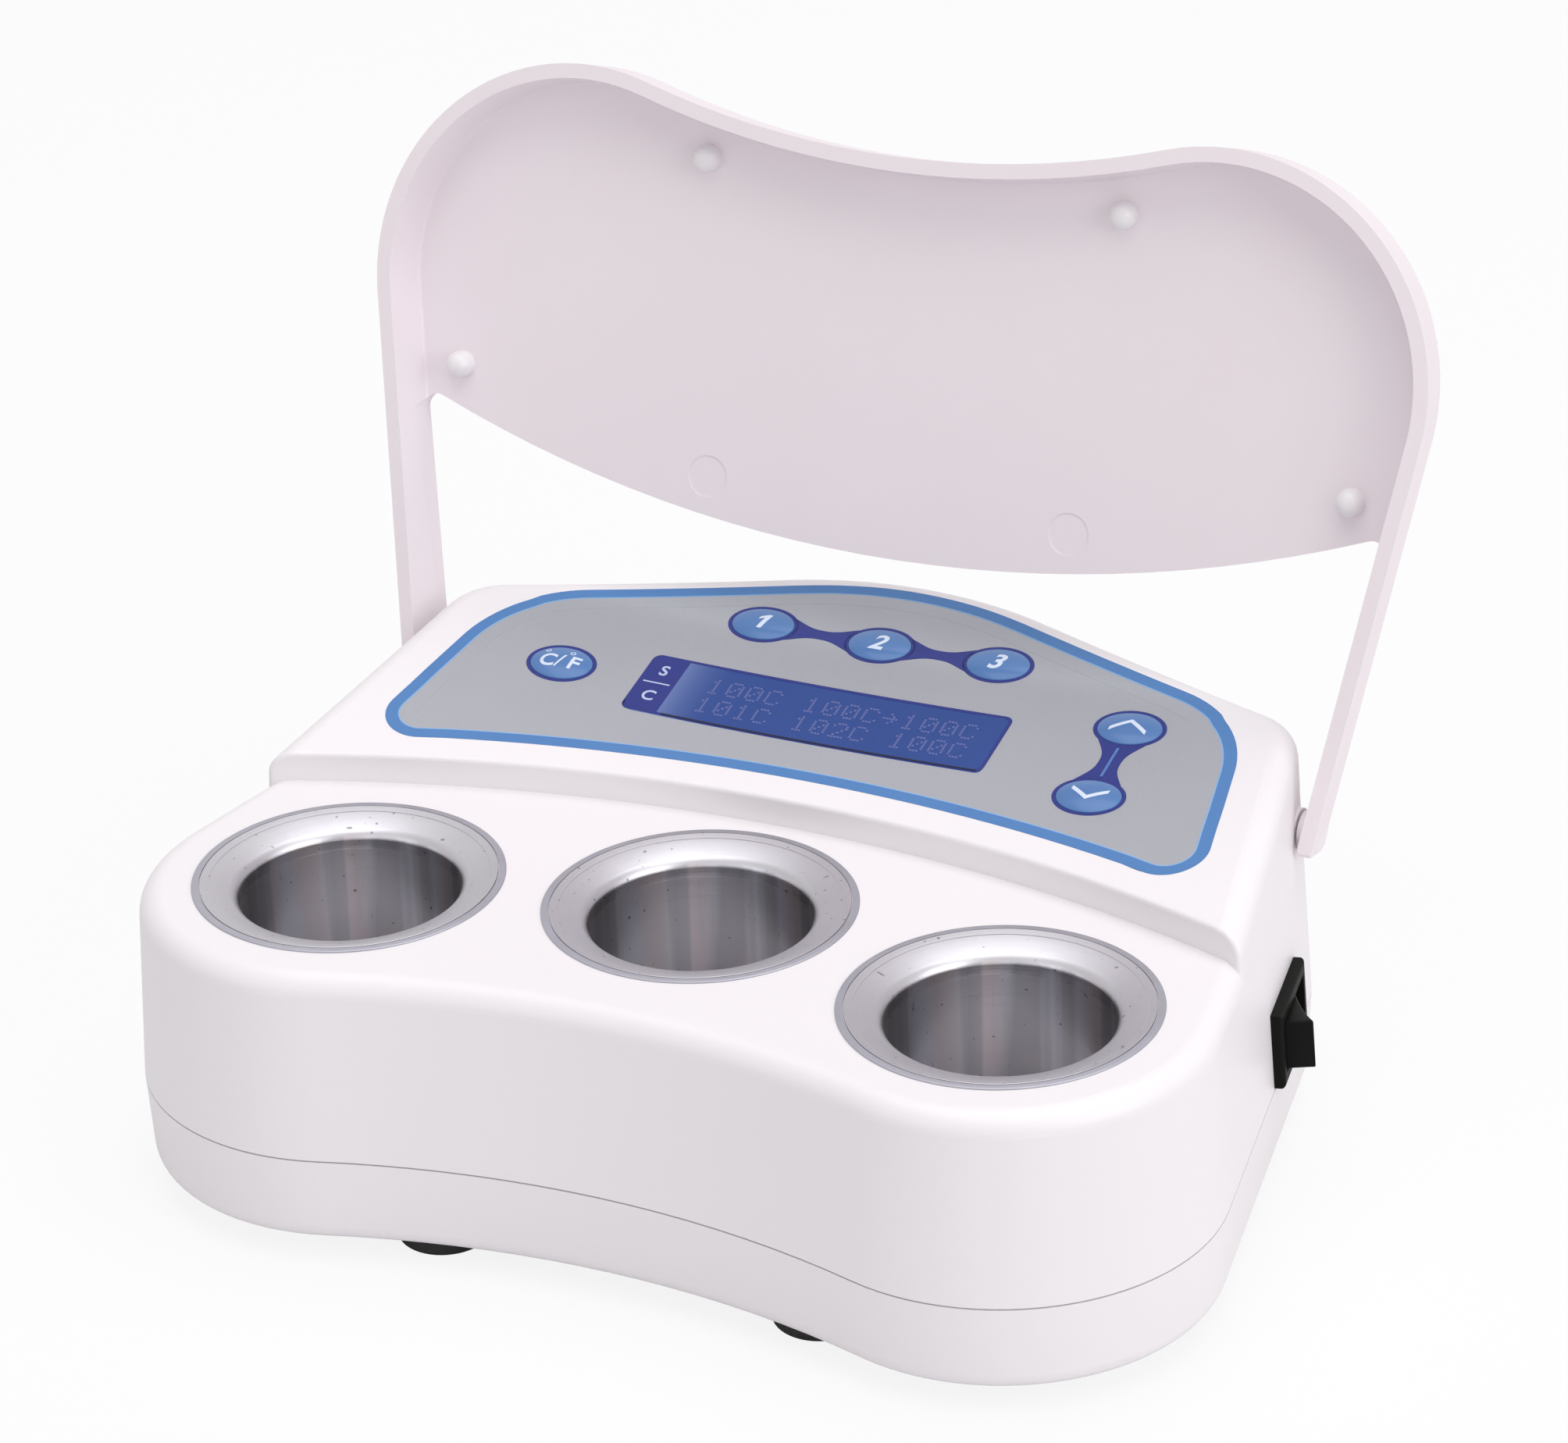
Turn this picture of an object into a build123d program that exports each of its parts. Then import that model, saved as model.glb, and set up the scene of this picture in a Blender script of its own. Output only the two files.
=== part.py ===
"""Three-well wax heater for the dental bench: a two-shell plastic casing with three turned
aluminium cups, a sloping control console, a rocker switch and a splash cover on two arms.

Millimetres, +Z up, +X to the user's right; the user stands on the -Y side.
Origin: on the table, under the middle of the heater with its cover open.
"""
from build123d import *
from math import atan2, cos, degrees, hypot, radians, sin, sqrt, tan
import os

os.makedirs("parts", exist_ok=True)

# ---- layout of the wells ---------------------------------------------------------------------
well_spacing = 60.7            # outer wells, either side of the middle plane
well_row_y = -37.3             # axis of the outer wells
middle_well_setback = 12.9     # the middle well stands this far behind the row

# ---- heights ---------------------------------------------------------------------------------
foot_height = 4.0
lower_shell_height = 16.4      # casing floor to seam
upper_wall_height = 34.0       # seam to deck
seam_gap = 0.3                 # shadow line between the two shells
step_height = 5.3              # deck to the console's front edge

# ---- plan outline of the casing, at deck level -----------------------------------------------
lobe_radius = 35.9             # round lobe about each outer well
waist_spread = 205.0           # lobe centre to the centre of the hollow front arc
side_angle = 10.0              # the side walls converge to the rear by this much
rear_angle = 18.8              # each half of the rear wall falls away by this much
rear_apex_offset = 113.0       # the rear halves would meet this far behind the row
rear_peak_radius = 80.0
rear_corner_radius = 13.0
upper_draft = 3.2
lower_draft = 2.5

# ---- shells ----------------------------------------------------------------------------------
wall = 2.5
deck_edge_radius = 4.0
console_edge_radius = 4.0
floor_edge_radius = 3.3
step_edge_radius = 0.8
tongue_height = 2.0
tongue_thickness = 1.2
tongue_clearance = 0.15

# ---- console: a shallow cone about a vertical axis far in front ------------------------------
step_radius = 252.9            # the step is an arc of this radius
step_centre_offset = 209.1     # its centre lies this far in front of the well row
console_slope = 12.6

# ---- wells -----------------------------------------------------------------------------------
well_bore_radius = 19.1
well_depth = 30.0              # lip to inside floor
well_wall = 2.3
well_floor = 3.0
well_flange_radius = 25.6
well_flange_edge = 1.1         # flange thickness at its rim
well_dish_drop = 2.1           # the flange falls inwards by this much
well_lip_radius = 2.2
well_corner_radius = 3.0
well_neck_radius = 24.2
well_hole_clearance = 0.2
trim_ring_radius = 27.0
trim_ring_height = 0.9
trim_ring_edge_radius = 0.4
trim_ring_gap = 0.15
lock_ring_radius = 27.5
lock_ring_height = 4.0
lock_ring_notches = 6
lock_ring_notch = 3.0
heater_height = 14.0
heater_thickness = 2.4
heater_drop = 12.0             # deck to the top of the heater band
heater_slit = 5.0
heater_ear = 6.0
sensor_radius = 2.5
sensor_length = 8.0
sensor_head = 7.0              # across the flats of its hexagon
sensor_head_height = 2.5
sensor_socket = 1.5            # how far it screws into the cup's floor

# ---- feet and the screws through them --------------------------------------------------------
front_foot_x = 35.4
front_foot_offset = -19.0      # from the well row
rear_foot_x = 66.5
rear_foot_offset = 68.0
foot_radius = 8.2
foot_recess = 1.0
foot_edge_radius = 0.8
screw_radius = 1.5
screw_head_radius = 2.8
screw_head_height = 2.0
screw_head_depth = 1.4         # head below the foot's underside
screw_reach = 10.0             # into the upper shell's posts
screw_clearance = 0.2
post_radius = 4.2

# ---- cover -----------------------------------------------------------------------------------
cover_rim_radius = 39.5        # outer radius of the cover's lobes at its rim
cover_side_angle = 9.05
cover_waist_radius = 171.8     # hollow front arc at the rim
cover_overlap = 5.0            # the closed rim hangs this far below the deck
cover_crown = 6.1              # deck to the top of the closed cover
cover_wall = 2.6
cover_panel = 2.2
cover_outer_draft = 5.0
cover_inner_draft = 8.0
cover_edge_radius = 3.0
cover_corner_radius = 0.6      # inside, wall to panel
cover_lean = 16.2              # the open cover leans back by this much
cover_step_gap = 2.5           # closed panel to the console's step
cover_side_gap = 0.5           # closed arms to the casing's sides
arm_end = 3.7                  # arm past the hinge axis
arm_end_radius = 4.5           # on its outer corner
arm_tip_radius = 0.8           # on its rim
arm_root_radius = 2.6          # between an arm and the panel's rear edge
arm_sweep_radius = 6.6         # about the axis, where the arms keep clear of the casing
arm_boss_radius = 3.4
bumper_radius = 2.45
bumper_height = 3.6            # panel to tip; the tips stay just clear of the deck
bumper_tip_radius = 2.2
bumper_places = ((85.9, 18.4), (39.8, -24.9))   # from the middle plane, behind the well row
ejector_radius = 3.8           # moulding marks inside the panel
ejector_depth = 0.15
ejector_x = 35.0
ejector_offset = 31.8          # behind the well row

# ---- hinge -----------------------------------------------------------------------------------
hinge_offset = 75.4            # hinge axis behind the well row
pin_radius = 2.0
pin_clearance = 0.05
pin_bite = 2.0                 # into the arm's boss
bush_wall = 1.4
hinge_land = 0.5               # round flat proud of the casing's side
hinge_face_gap = 0.4           # that flat to the arm's boss
hinge_boss_wall = 2.2
hinge_boss_length = 10.0
clip_rim = 1.9
clip_thickness = 0.8
clip_gap = 0.3

# ---- control panel ---------------------------------------------------------------------------
overlay_thickness = 0.4
overlay_clearance = 0.15
overlay_side_inset = 11.5
overlay_rear_inset = 6.4
overlay_front_offset = 52.0    # front edge behind the well row, in the middle
overlay_front_radius = 205.0
overlay_corner_radius = 7.0
overlay_shoulder_radius = 24.0
overlay_peak_radius = 60.0
key_half_length = 5.9
key_half_width = 4.3
key_proud = 0.5                # edge of the domed cap above the panel
key_crown = 0.5                # dome's height above that edge
key_clearance = 0.3
key_travel = 0.4
key_flange = 1.0
key_flange_thickness = 0.8
key_stem_radius = 1.6
key_places = {                 # x, distance behind the well row
    "key_one": (-23.0, 87.2),
    "key_two": (0.0, 87.2),
    "key_three": (23.0, 87.2),
    "key_units": (-53.4, 66.5),
    "key_up": (52.8, 75.5),
    "key_down": (52.8, 56.8),
}
display_x = -2.6
display_offset = 66.1          # middle of the window behind the well row
display_length = 68.6
display_width = 15.3
display_corner = 1.2
display_ledge = 0.8            # the overlay overhangs the casing's window

# ---- boards under the panel ------------------------------------------------------------------
board_thickness = 1.6
display_frame_length = 71.5
display_frame_width = 20.5
display_frame_height = 7.0
display_board_length = 80.0
display_board_width = 27.0
display_gap = 0.4              # casing to display frame
stack_spacer = 1.0
key_board_length = 140.0
key_board_width = 46.0
key_board_setback = 4.5        # board's middle behind the window's, along the slope
key_board_margin = 4.0         # to the casing's inner walls
tact_size = 6.0
tact_height = 5.0
tact_plunger_radius = 1.7
tact_plunger_height = 1.0
tact_gap = 0.15                # key stem to plunger with the key pressed
board_post_radius = 2.6
board_post_front_x = 66.5
board_post_rear_x = 46.0
board_post_y = 17.0
board_screw_radius = 1.2
board_screw_head_radius = 2.3
board_screw_head_height = 1.4
board_screw_reach = 5.0

# ---- power switch ----------------------------------------------------------------------------
switch_offset = 54.4           # behind the well row
switch_drop = 26.6             # below the deck
bezel_length = 21.0
bezel_height = 14.0
bezel_thickness = 2.0
bezel_edge_radius = 0.8
switch_body_length = 19.4
switch_body_height = 12.4
switch_body_depth = 15.0
switch_hole_clearance = 0.1
rocker_half_length = 8.4
rocker_height = 9.0
rocker_clearance = 0.3
rocker_crest = 2.4             # rocker's ends above the bezel when level
rocker_hollow = 0.9
rocker_skirt = 2.0             # below its pivot
rocker_keel_radius = 4.2
rocker_pivot_depth = 1.4       # pivot below the bezel's face
rocker_throw = 24.0            # from one position to the other
rocker_axle_radius = 1.2
rocker_axle_length = 1.0
rocker_axle_clearance = 0.06
terminal_length = 6.3
terminal_width = 0.8
terminal_reach = 7.0

# ---- mains inlet -----------------------------------------------------------------------------
inlet_drop = 14.0              # its middle below the deck
inlet_flange_width = 31.0
inlet_flange_height = 31.0
inlet_flange_thickness = 2.0
inlet_body_width = 27.4
inlet_body_height = 27.0
inlet_body_depth = 19.0
inlet_socket_width = 24.2
inlet_socket_height = 16.4
inlet_socket_depth = 15.0
inlet_socket_corner = 3.6
inlet_socket_rise = 4.0        # socket's middle above the flange's
inlet_pocket_depth = 2.4
inlet_pocket_margin = 0.8
inlet_hole_clearance = 0.2
contact_width = 4.0
contact_thickness = 2.0
contact_length = 12.0
contact_spread = 7.0
contact_offset = 2.0
drawer_width = 21.0
drawer_height = 6.6
drawer_depth = 14.0
drawer_drop = 10.0             # drawer's middle below the flange's
drawer_clearance = 0.2
drawer_grip = 0.8

# ---- boards and transformer on the floor -----------------------------------------------------
transformer_x = -36.0
transformer_offset = 56.0
transformer_width = 40.0
transformer_depth = 24.0
transformer_height = 32.0
transformer_foot = 5.5
transformer_plate = 1.6
coil_width = 22.0
coil_overhang = 8.0
coil_margin = 5.0
control_board_x = 22.0
control_board_offset = 60.0
control_board_width = 64.0
control_board_depth = 40.0
standoff_height = 5.0
standoff_radius = 3.0
standoff_inset = 4.0
relay_length = 19.0
relay_width = 15.0
relay_height = 15.0
relay_pitch = 20.0
capacitor_radius = 5.0
capacitor_height = 16.0
vent_length = 24.0
vent_width = 2.5
vent_pitch = 6.0
vent_count = 5
vent_x = 26.0
vent_offset = 30.0

# ---- derived places --------------------------------------------------------------------------
floor_z = foot_height
seam_z = floor_z + lower_shell_height
deck_z = seam_z + upper_wall_height
slope = tan(radians(console_slope))
square = cos(radians(console_slope))
seam_grow = upper_wall_height * tan(radians(upper_draft))
step_centre_y = well_row_y - step_centre_offset
waist_centre_y = well_row_y - sqrt(waist_spread**2 - well_spacing**2)
rear_apex_y = well_row_y + rear_apex_offset
console_top_z = deck_z + step_height + slope * (rear_apex_y - step_centre_y - step_radius)
side_normal = Vector(cos(radians(side_angle)), sin(radians(side_angle)))
rear_normal = Vector(sin(radians(rear_angle)), cos(radians(rear_angle)))
side_reach = side_normal.dot(Vector(well_spacing, well_row_y)) + lobe_radius
rear_reach = rear_normal.dot(Vector(0, rear_apex_y))
well_places = {
    "left": (-well_spacing, well_row_y),
    "middle": (0.0, well_row_y + middle_well_setback),
    "right": (well_spacing, well_row_y),
}
foot_places = [
    (side * x, well_row_y + offset)
    for x, offset in ((front_foot_x, front_foot_offset), (rear_foot_x, rear_foot_offset))
    for side in (-1, 1)
]


def casing_corner(side_inset, rear_inset):
    """Point at deck level that lies given distances inside the right side and the rear wall."""
    side = side_reach - side_inset
    rear = rear_reach - rear_inset
    turn = side_normal.X * rear_normal.Y - side_normal.Y * rear_normal.X
    return Vector(
        (side * rear_normal.Y - side_normal.Y * rear) / turn,
        (side_normal.X * rear - rear_normal.X * side) / turn,
    )


def casing_outline(grow):
    """Plan outline of the casing, everywhere `grow` outside the one at deck level."""
    waist = degrees(atan2(well_spacing, well_row_y - waist_centre_y))
    corner = casing_corner(rear_corner_radius, rear_corner_radius)
    peak = Vector(0, rear_apex_y - rear_peak_radius / rear_normal.Y)
    lobe = lobe_radius + grow
    with BuildSketch() as outline:
        with BuildLine():
            CenterArc((0, waist_centre_y), waist_spread - lobe, 90, -waist)
            front = CenterArc((well_spacing, well_row_y), lobe, -90 - waist, side_angle + 90 + waist)
            turn = CenterArc(corner, rear_corner_radius + grow, side_angle, 90 - rear_angle - side_angle)
            Line(front @ 1, turn @ 0)
            crest = CenterArc(peak, rear_peak_radius + grow, 90 - rear_angle, rear_angle)
            Line(turn @ 1, crest @ 0)
            mirror(about=Plane.YZ)
        make_face()
    return outline.sketch


def console_height(x, y):
    """Height of the console's top surface above the table, over a point in plan."""
    return deck_z + step_height + slope * (hypot(x, y - step_centre_y) - step_radius)


def console_plane(x, y, depth=0.0):
    """Plane square to the console's surface at a point in plan, sunk by a depth."""
    azimuth = atan2(x, y - step_centre_y)
    tilt = radians(console_slope)
    normal = Vector(-sin(tilt) * sin(azimuth), -sin(tilt) * cos(azimuth), cos(tilt))
    return Plane(origin=Vector(x, y, console_height(x, y)) - normal * depth, x_dir=(1, 0, 0), z_dir=normal)


def behind_step(radius, low, high):
    """Block of everything behind an arc about the step's centre, between two heights."""
    with BuildPart() as block:
        with BuildSketch(Plane.XY.offset(low)):
            with Locations((0, step_centre_y)):
                Circle(2 * step_radius)
                Circle(radius, mode=Mode.SUBTRACT)
        extrude(amount=high - low)
    return block.part


def above_console(drop):
    """Everything above the console's cone, lowered by a drop."""
    reach = 2 * step_radius
    low = deck_z + step_height - drop - slope * step_radius
    with BuildPart() as block:
        with BuildSketch(Plane.YZ):
            with BuildLine():
                Polyline(
                    (step_centre_y, low),
                    (step_centre_y + reach, low + slope * reach),
                    (step_centre_y, low + slope * reach),
                    close=True,
                )
            make_face()
        revolve(axis=Axis((0, step_centre_y, 0), (0, 0, 1)), revolution_arc=360)
    return block.part


def drafted_block(grow, height):
    """Prism on the seam plane with the casing's outline and draft."""
    with BuildPart() as block:
        with BuildSketch(Plane.XY.offset(seam_z)):
            add(casing_outline(seam_grow + grow))
        extrude(amount=height, taper=upper_draft)
    return block.part


def wall_plane(normal, reach, near, drop):
    """Plane of a drafted casing wall, at its point nearest to `near`, a drop below the deck."""
    draft = radians(upper_draft)
    foot = near + normal * (reach + drop * tan(draft) - normal.dot(near))
    outward = normal * cos(draft) + Vector(0, 0, sin(draft))
    along = Vector(-normal.Y, normal.X, 0)
    return Plane(origin=Vector(foot.X, foot.Y, deck_z - drop), x_dir=along, z_dir=outward)


def overlay_outline(grow):
    """Plan outline of the panel overlay, `grow` outside its edge."""
    shoulder = casing_corner(overlay_side_inset - grow, overlay_rear_inset - grow)
    foot = casing_corner(overlay_side_inset - grow, rear_reach)
    peak = Vector(0, rear_apex_y - (overlay_rear_inset - grow) / rear_normal.Y)
    front_y = well_row_y + overlay_front_offset - grow
    with BuildSketch() as outline:
        with BuildLine():
            Polyline(peak, shoulder, foot, (0, foot.Y))
            mirror(about=Plane.YZ)
        make_face()
        with Locations((0, front_y - overlay_front_radius)):
            Circle(overlay_front_radius, mode=Mode.SUBTRACT)
        ends = outline.vertices().sort_by(Axis.Y)
        fillet(ends[:2], overlay_corner_radius)
        fillet(outline.vertices().sort_by(Axis.Y)[-1], overlay_peak_radius)
        shoulders = outline.vertices().filter_by(lambda v: abs(v.Y - shoulder.Y) < wall / 10)
        fillet(shoulders, overlay_shoulder_radius)
    return outline.sketch


def console_slab(outline, high, low):
    """Sheet that follows the console between two drops below its surface, with a plan outline."""
    with BuildPart() as sheet:
        with BuildSketch(Plane.XY.offset(deck_z)):
            add(outline)
        extrude(amount=console_top_z - deck_z + wall)
        add(above_console(high), mode=Mode.SUBTRACT)
        add(above_console(low), mode=Mode.INTERSECT)
    return sheet.part


# ---- places shared by several pieces ---------------------------------------------------------
hinge_y = well_row_y + hinge_offset
casing_side_x = (side_reach - hinge_y * side_normal.Y) / side_normal.X
land_x = casing_side_x + hinge_land
bush_radius = pin_radius + pin_clearance + bush_wall
hinge_boss_radius = bush_radius + hinge_boss_wall
hinge_inner_x = land_x - hinge_boss_length
switch_near = Vector(casing_corner(0, 0).X, well_row_y + switch_offset)
switch_face = wall_plane(side_normal, side_reach, switch_near, switch_drop)
inlet_y = rear_apex_y - rear_peak_radius / rear_normal.Y + rear_peak_radius
inlet_z = deck_z - inlet_drop
pocket_floor_y = inlet_y + inlet_drop * tan(radians(upper_draft)) - inlet_pocket_depth
inlet_face = Plane(origin=(0, pocket_floor_y, inlet_z), x_dir=(-1, 0, 0), z_dir=(0, 1, 0))
display_depth = wall * square + display_gap
display_board_depth = display_depth + display_frame_height
key_board_depth = display_board_depth + board_thickness + stack_spacer
panel_middle_y = well_row_y + display_offset
key_board_plane = console_plane(0, panel_middle_y, key_board_depth)
board_posts = [
    (side * x, y + key_board_setback)
    for x, y in ((board_post_front_x, -board_post_y), (board_post_rear_x, board_post_y))
    for side in (-1, 1)
]
key_planes = {name: console_plane(x, well_row_y + y) for name, (x, y) in key_places.items()}


def hinge_plane(side, x):
    """Plane square to the hinge axis at a distance from the middle, facing outwards on its side."""
    return Plane(origin=(side * x, hinge_y, deck_z), x_dir=(0, 1, 0), z_dir=(side, 0, 0))


def tact_spot(plane):
    """Where a key's axis meets the key board's upper face, and how deep below the key that is."""
    board = key_board_plane
    depth = (plane.origin - board.origin).dot(board.z_dir) / plane.z_dir.dot(board.z_dir)
    return plane.origin - plane.z_dir * depth, depth


# ---- upper casing ----------------------------------------------------------------------------
with BuildPart() as deck_block:
    add(drafted_block(0, upper_wall_height))
    fillet(deck_block.faces().sort_by(Axis.Z)[-1].edges(), deck_edge_radius)

with BuildPart() as casing_form:
    add(drafted_block(0, console_top_z - seam_z))
    add(above_console(0), mode=Mode.SUBTRACT)
    add(behind_step(step_radius, floor_z, console_top_z + wall), mode=Mode.INTERSECT)
    slope_face = casing_form.faces().filter_by(GeomType.CONE).sort_by(SortBy.AREA)[-1]
    rim = slope_face.edges().filter_by(
        lambda e: abs(hypot(e.center().X, e.center().Y - step_centre_y) - step_radius) > step_height
    )
    fillet(rim, console_edge_radius)
    add(deck_block.part)
    step_edge = casing_form.edges().filter_by(GeomType.CIRCLE).filter_by(
        lambda e: abs(e.radius - step_radius) < 1 and e.center().Z > deck_z + step_height / 2
    )
    fillet(step_edge, step_edge_radius)

with BuildPart() as casing_cavity:
    add(drafted_block(-wall, console_top_z - seam_z))
    add(above_console(wall), mode=Mode.SUBTRACT)
    add(behind_step(step_radius + wall, floor_z, console_top_z + wall), mode=Mode.INTERSECT)
    add(drafted_block(-wall, upper_wall_height - wall))

with BuildPart() as casing_inside:
    with BuildSketch(Plane.XY.offset(seam_z)):
        with Locations(*foot_places):
            Circle(post_radius)
    extrude(amount=console_top_z - seam_z)
    with BuildSketch(key_board_plane):
        with Locations(*board_posts):
            Circle(board_post_radius)
    extrude(amount=key_board_depth)
    for side in (-1, 1):
        with BuildSketch(hinge_plane(side, hinge_inner_x)):
            Circle(hinge_boss_radius)
        extrude(amount=hinge_boss_length)
    with BuildSketch(inlet_face.offset(-wall)):
        Rectangle(
            inlet_flange_width + 2 * (inlet_pocket_margin + wall),
            inlet_flange_height + 2 * (inlet_pocket_margin + wall),
        )
    extrude(amount=wall + inlet_pocket_depth)
    add(casing_form.part, mode=Mode.INTERSECT)

with BuildPart() as upper_casing:
    add(casing_form.part)
    add(casing_cavity.part, mode=Mode.SUBTRACT)
    add(casing_inside.part)
    with BuildSketch(Plane.XY.offset(seam_z)):
        add(casing_outline(seam_grow - wall + tongue_thickness))
        add(casing_outline(seam_grow - wall), mode=Mode.SUBTRACT)
    extrude(amount=-seam_gap - tongue_height)
    # round flats for the arms, bored for the bushes
    for side in (-1, 1):
        land = hinge_plane(side, land_x)
        with BuildSketch(land):
            Circle(arm_boss_radius + hinge_face_gap)
        extrude(amount=-hinge_boss_length / 2)
        with BuildSketch(land):
            Circle(arm_boss_radius + hinge_face_gap)
        extrude(amount=hinge_boss_length, mode=Mode.SUBTRACT)
        with BuildSketch(land):
            Circle(bush_radius)
        extrude(amount=-hinge_boss_length, mode=Mode.SUBTRACT)
    # wells
    with BuildSketch(Plane.XY.offset(deck_z)):
        with Locations(*well_places.values()):
            Circle(well_neck_radius + well_hole_clearance)
    extrude(amount=-2 * wall, mode=Mode.SUBTRACT)
    # shallow bed of the overlay, then the window and the keys' holes through it
    add(console_slab(overlay_outline(overlay_clearance), 0, overlay_thickness), mode=Mode.SUBTRACT)
    with BuildSketch(console_plane(0, panel_middle_y, 2 * wall)):
        with Locations((display_x, 0)):
            RectangleRounded(
                display_length - 2 * display_ledge, display_width - 2 * display_ledge, display_corner
            )
    extrude(amount=4 * wall, mode=Mode.SUBTRACT)
    for plane in key_planes.values():
        with BuildSketch(plane.offset(-2 * wall)):
            Ellipse(key_half_length + key_clearance, key_half_width + key_clearance)
        extrude(amount=4 * wall, mode=Mode.SUBTRACT)
    # rocker switch in the right side, mains inlet in its pocket at the rear
    with BuildSketch(switch_face):
        Rectangle(
            switch_body_length + 2 * switch_hole_clearance, switch_body_height + 2 * switch_hole_clearance
        )
    extrude(amount=-2 * wall, mode=Mode.SUBTRACT)
    with BuildSketch(inlet_face):
        Rectangle(
            inlet_flange_width + 2 * inlet_pocket_margin, inlet_flange_height + 2 * inlet_pocket_margin
        )
    extrude(amount=2 * inlet_pocket_depth, mode=Mode.SUBTRACT)
    with BuildSketch(inlet_face):
        Rectangle(
            inlet_body_width + 2 * inlet_hole_clearance, inlet_body_height + 2 * inlet_hole_clearance
        )
    extrude(amount=-2 * wall, mode=Mode.SUBTRACT)
    # blind holes for the screws
    with BuildSketch(Plane.XY.offset(seam_z)):
        with Locations(*foot_places):
            Circle(screw_radius + screw_clearance / 2)
    extrude(amount=screw_reach + screw_clearance, mode=Mode.SUBTRACT)
    with BuildSketch(key_board_plane):
        with Locations(*board_posts):
            Circle(board_screw_radius + screw_clearance / 2)
    extrude(amount=board_screw_reach + screw_clearance, mode=Mode.SUBTRACT)
upper_casing.part.label = "upper_casing"
export_step(upper_casing.part, "parts/upper_casing.step")

# ---- lower casing ----------------------------------------------------------------------------
with BuildPart() as tray:
    with BuildSketch(Plane.XY.offset(seam_z - seam_gap)):
        add(casing_outline(seam_grow))
    extrude(amount=-(lower_shell_height - seam_gap), taper=lower_draft)
    fillet(tray.faces().sort_by(Axis.Z)[0].edges(), floor_edge_radius)

with BuildPart() as lower_casing:
    add(tray.part)
    with BuildSketch(Plane.XY.offset(seam_z - seam_gap)):
        add(casing_outline(seam_grow - wall))
    extrude(amount=-(lower_shell_height - seam_gap - wall), taper=lower_draft, mode=Mode.SUBTRACT)
    with BuildSketch(Plane.XY.offset(seam_z - seam_gap)):
        add(casing_outline(seam_grow - wall + tongue_thickness + tongue_clearance))
    extrude(amount=-tongue_height - tongue_clearance, mode=Mode.SUBTRACT)
    # tubes for the casing screws, over the feet's recesses
    with BuildSketch(Plane.XY.offset(floor_z)):
        with Locations(*foot_places):
            Circle(post_radius)
    extrude(amount=lower_shell_height - tongue_clearance)
    with BuildSketch(Plane.XY.offset(floor_z)):
        with Locations(*foot_places):
            Circle(foot_radius + screw_clearance)
    extrude(amount=foot_recess, mode=Mode.SUBTRACT)
    with BuildSketch(Plane.XY.offset(floor_z)):
        with Locations(*foot_places):
            Circle(screw_radius + screw_clearance)
    extrude(amount=lower_shell_height, mode=Mode.SUBTRACT)
    # pillars under the control board and the transformer's plate
    with BuildSketch(Plane.XY.offset(floor_z + wall)):
        with Locations((control_board_x, well_row_y + control_board_offset)):
            with GridLocations(
                control_board_width - 2 * standoff_inset, control_board_depth - 2 * standoff_inset, 2, 2
            ):
                Circle(standoff_radius)
    extrude(amount=standoff_height)
    # air slots under the wells' heaters
    with BuildSketch(Plane.XY.offset(floor_z)):
        with Locations((-vent_x, well_row_y + vent_offset), (vent_x, well_row_y + vent_offset)):
            with GridLocations(0, vent_pitch, 1, vent_count):
                SlotOverall(vent_length, vent_width)
    extrude(amount=wall, mode=Mode.SUBTRACT)
lower_casing.part.label = "lower_casing"
export_step(lower_casing.part, "parts/lower_casing.step")

with BuildPart() as rubber_feet:
    with BuildSketch():
        with Locations(*foot_places):
            Circle(foot_radius)
    extrude(amount=foot_height + foot_recess)
    fillet(rubber_feet.faces().filter_by(Axis.Z).sort_by(Axis.Z)[:4].edges(), foot_edge_radius)
    with BuildSketch():
        with Locations(*foot_places):
            Circle(screw_head_radius + screw_clearance)
    extrude(amount=screw_head_depth + screw_head_height, mode=Mode.SUBTRACT)
    with BuildSketch():
        with Locations(*foot_places):
            Circle(screw_radius + screw_clearance)
    extrude(amount=foot_height + foot_recess, mode=Mode.SUBTRACT)
rubber_feet.part.label = "rubber_feet"
export_step(rubber_feet.part, "parts/rubber_feet.step")

with BuildPart() as casing_screws:
    with BuildSketch(Plane.XY.offset(screw_head_depth)):
        with Locations(*foot_places):
            Circle(screw_head_radius)
    extrude(amount=screw_head_height)
    with BuildSketch(Plane.XY.offset(screw_head_depth)):
        with Locations(*foot_places):
            Rectangle(screw_head_radius, screw_clearance * 3)
            Rectangle(screw_clearance * 3, screw_head_radius)
    extrude(amount=screw_head_height / 2, mode=Mode.SUBTRACT)
    with BuildSketch(Plane.XY.offset(screw_head_depth + screw_head_height)):
        with Locations(*foot_places):
            Circle(screw_radius)
    extrude(amount=seam_z + screw_reach - screw_head_depth - screw_head_height)
casing_screws.part.label = "casing_screws"
export_step(casing_screws.part, "parts/casing_screws.step")

# ---- the three heated cups and their fittings ------------------------------------------------
well_outer_radius = well_bore_radius + well_wall
flange_top_z = deck_z + well_flange_edge
lip_z = flange_top_z - well_dish_drop
cup_floor_z = lip_z - well_depth
cup_bottom_z = cup_floor_z - well_floor


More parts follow.
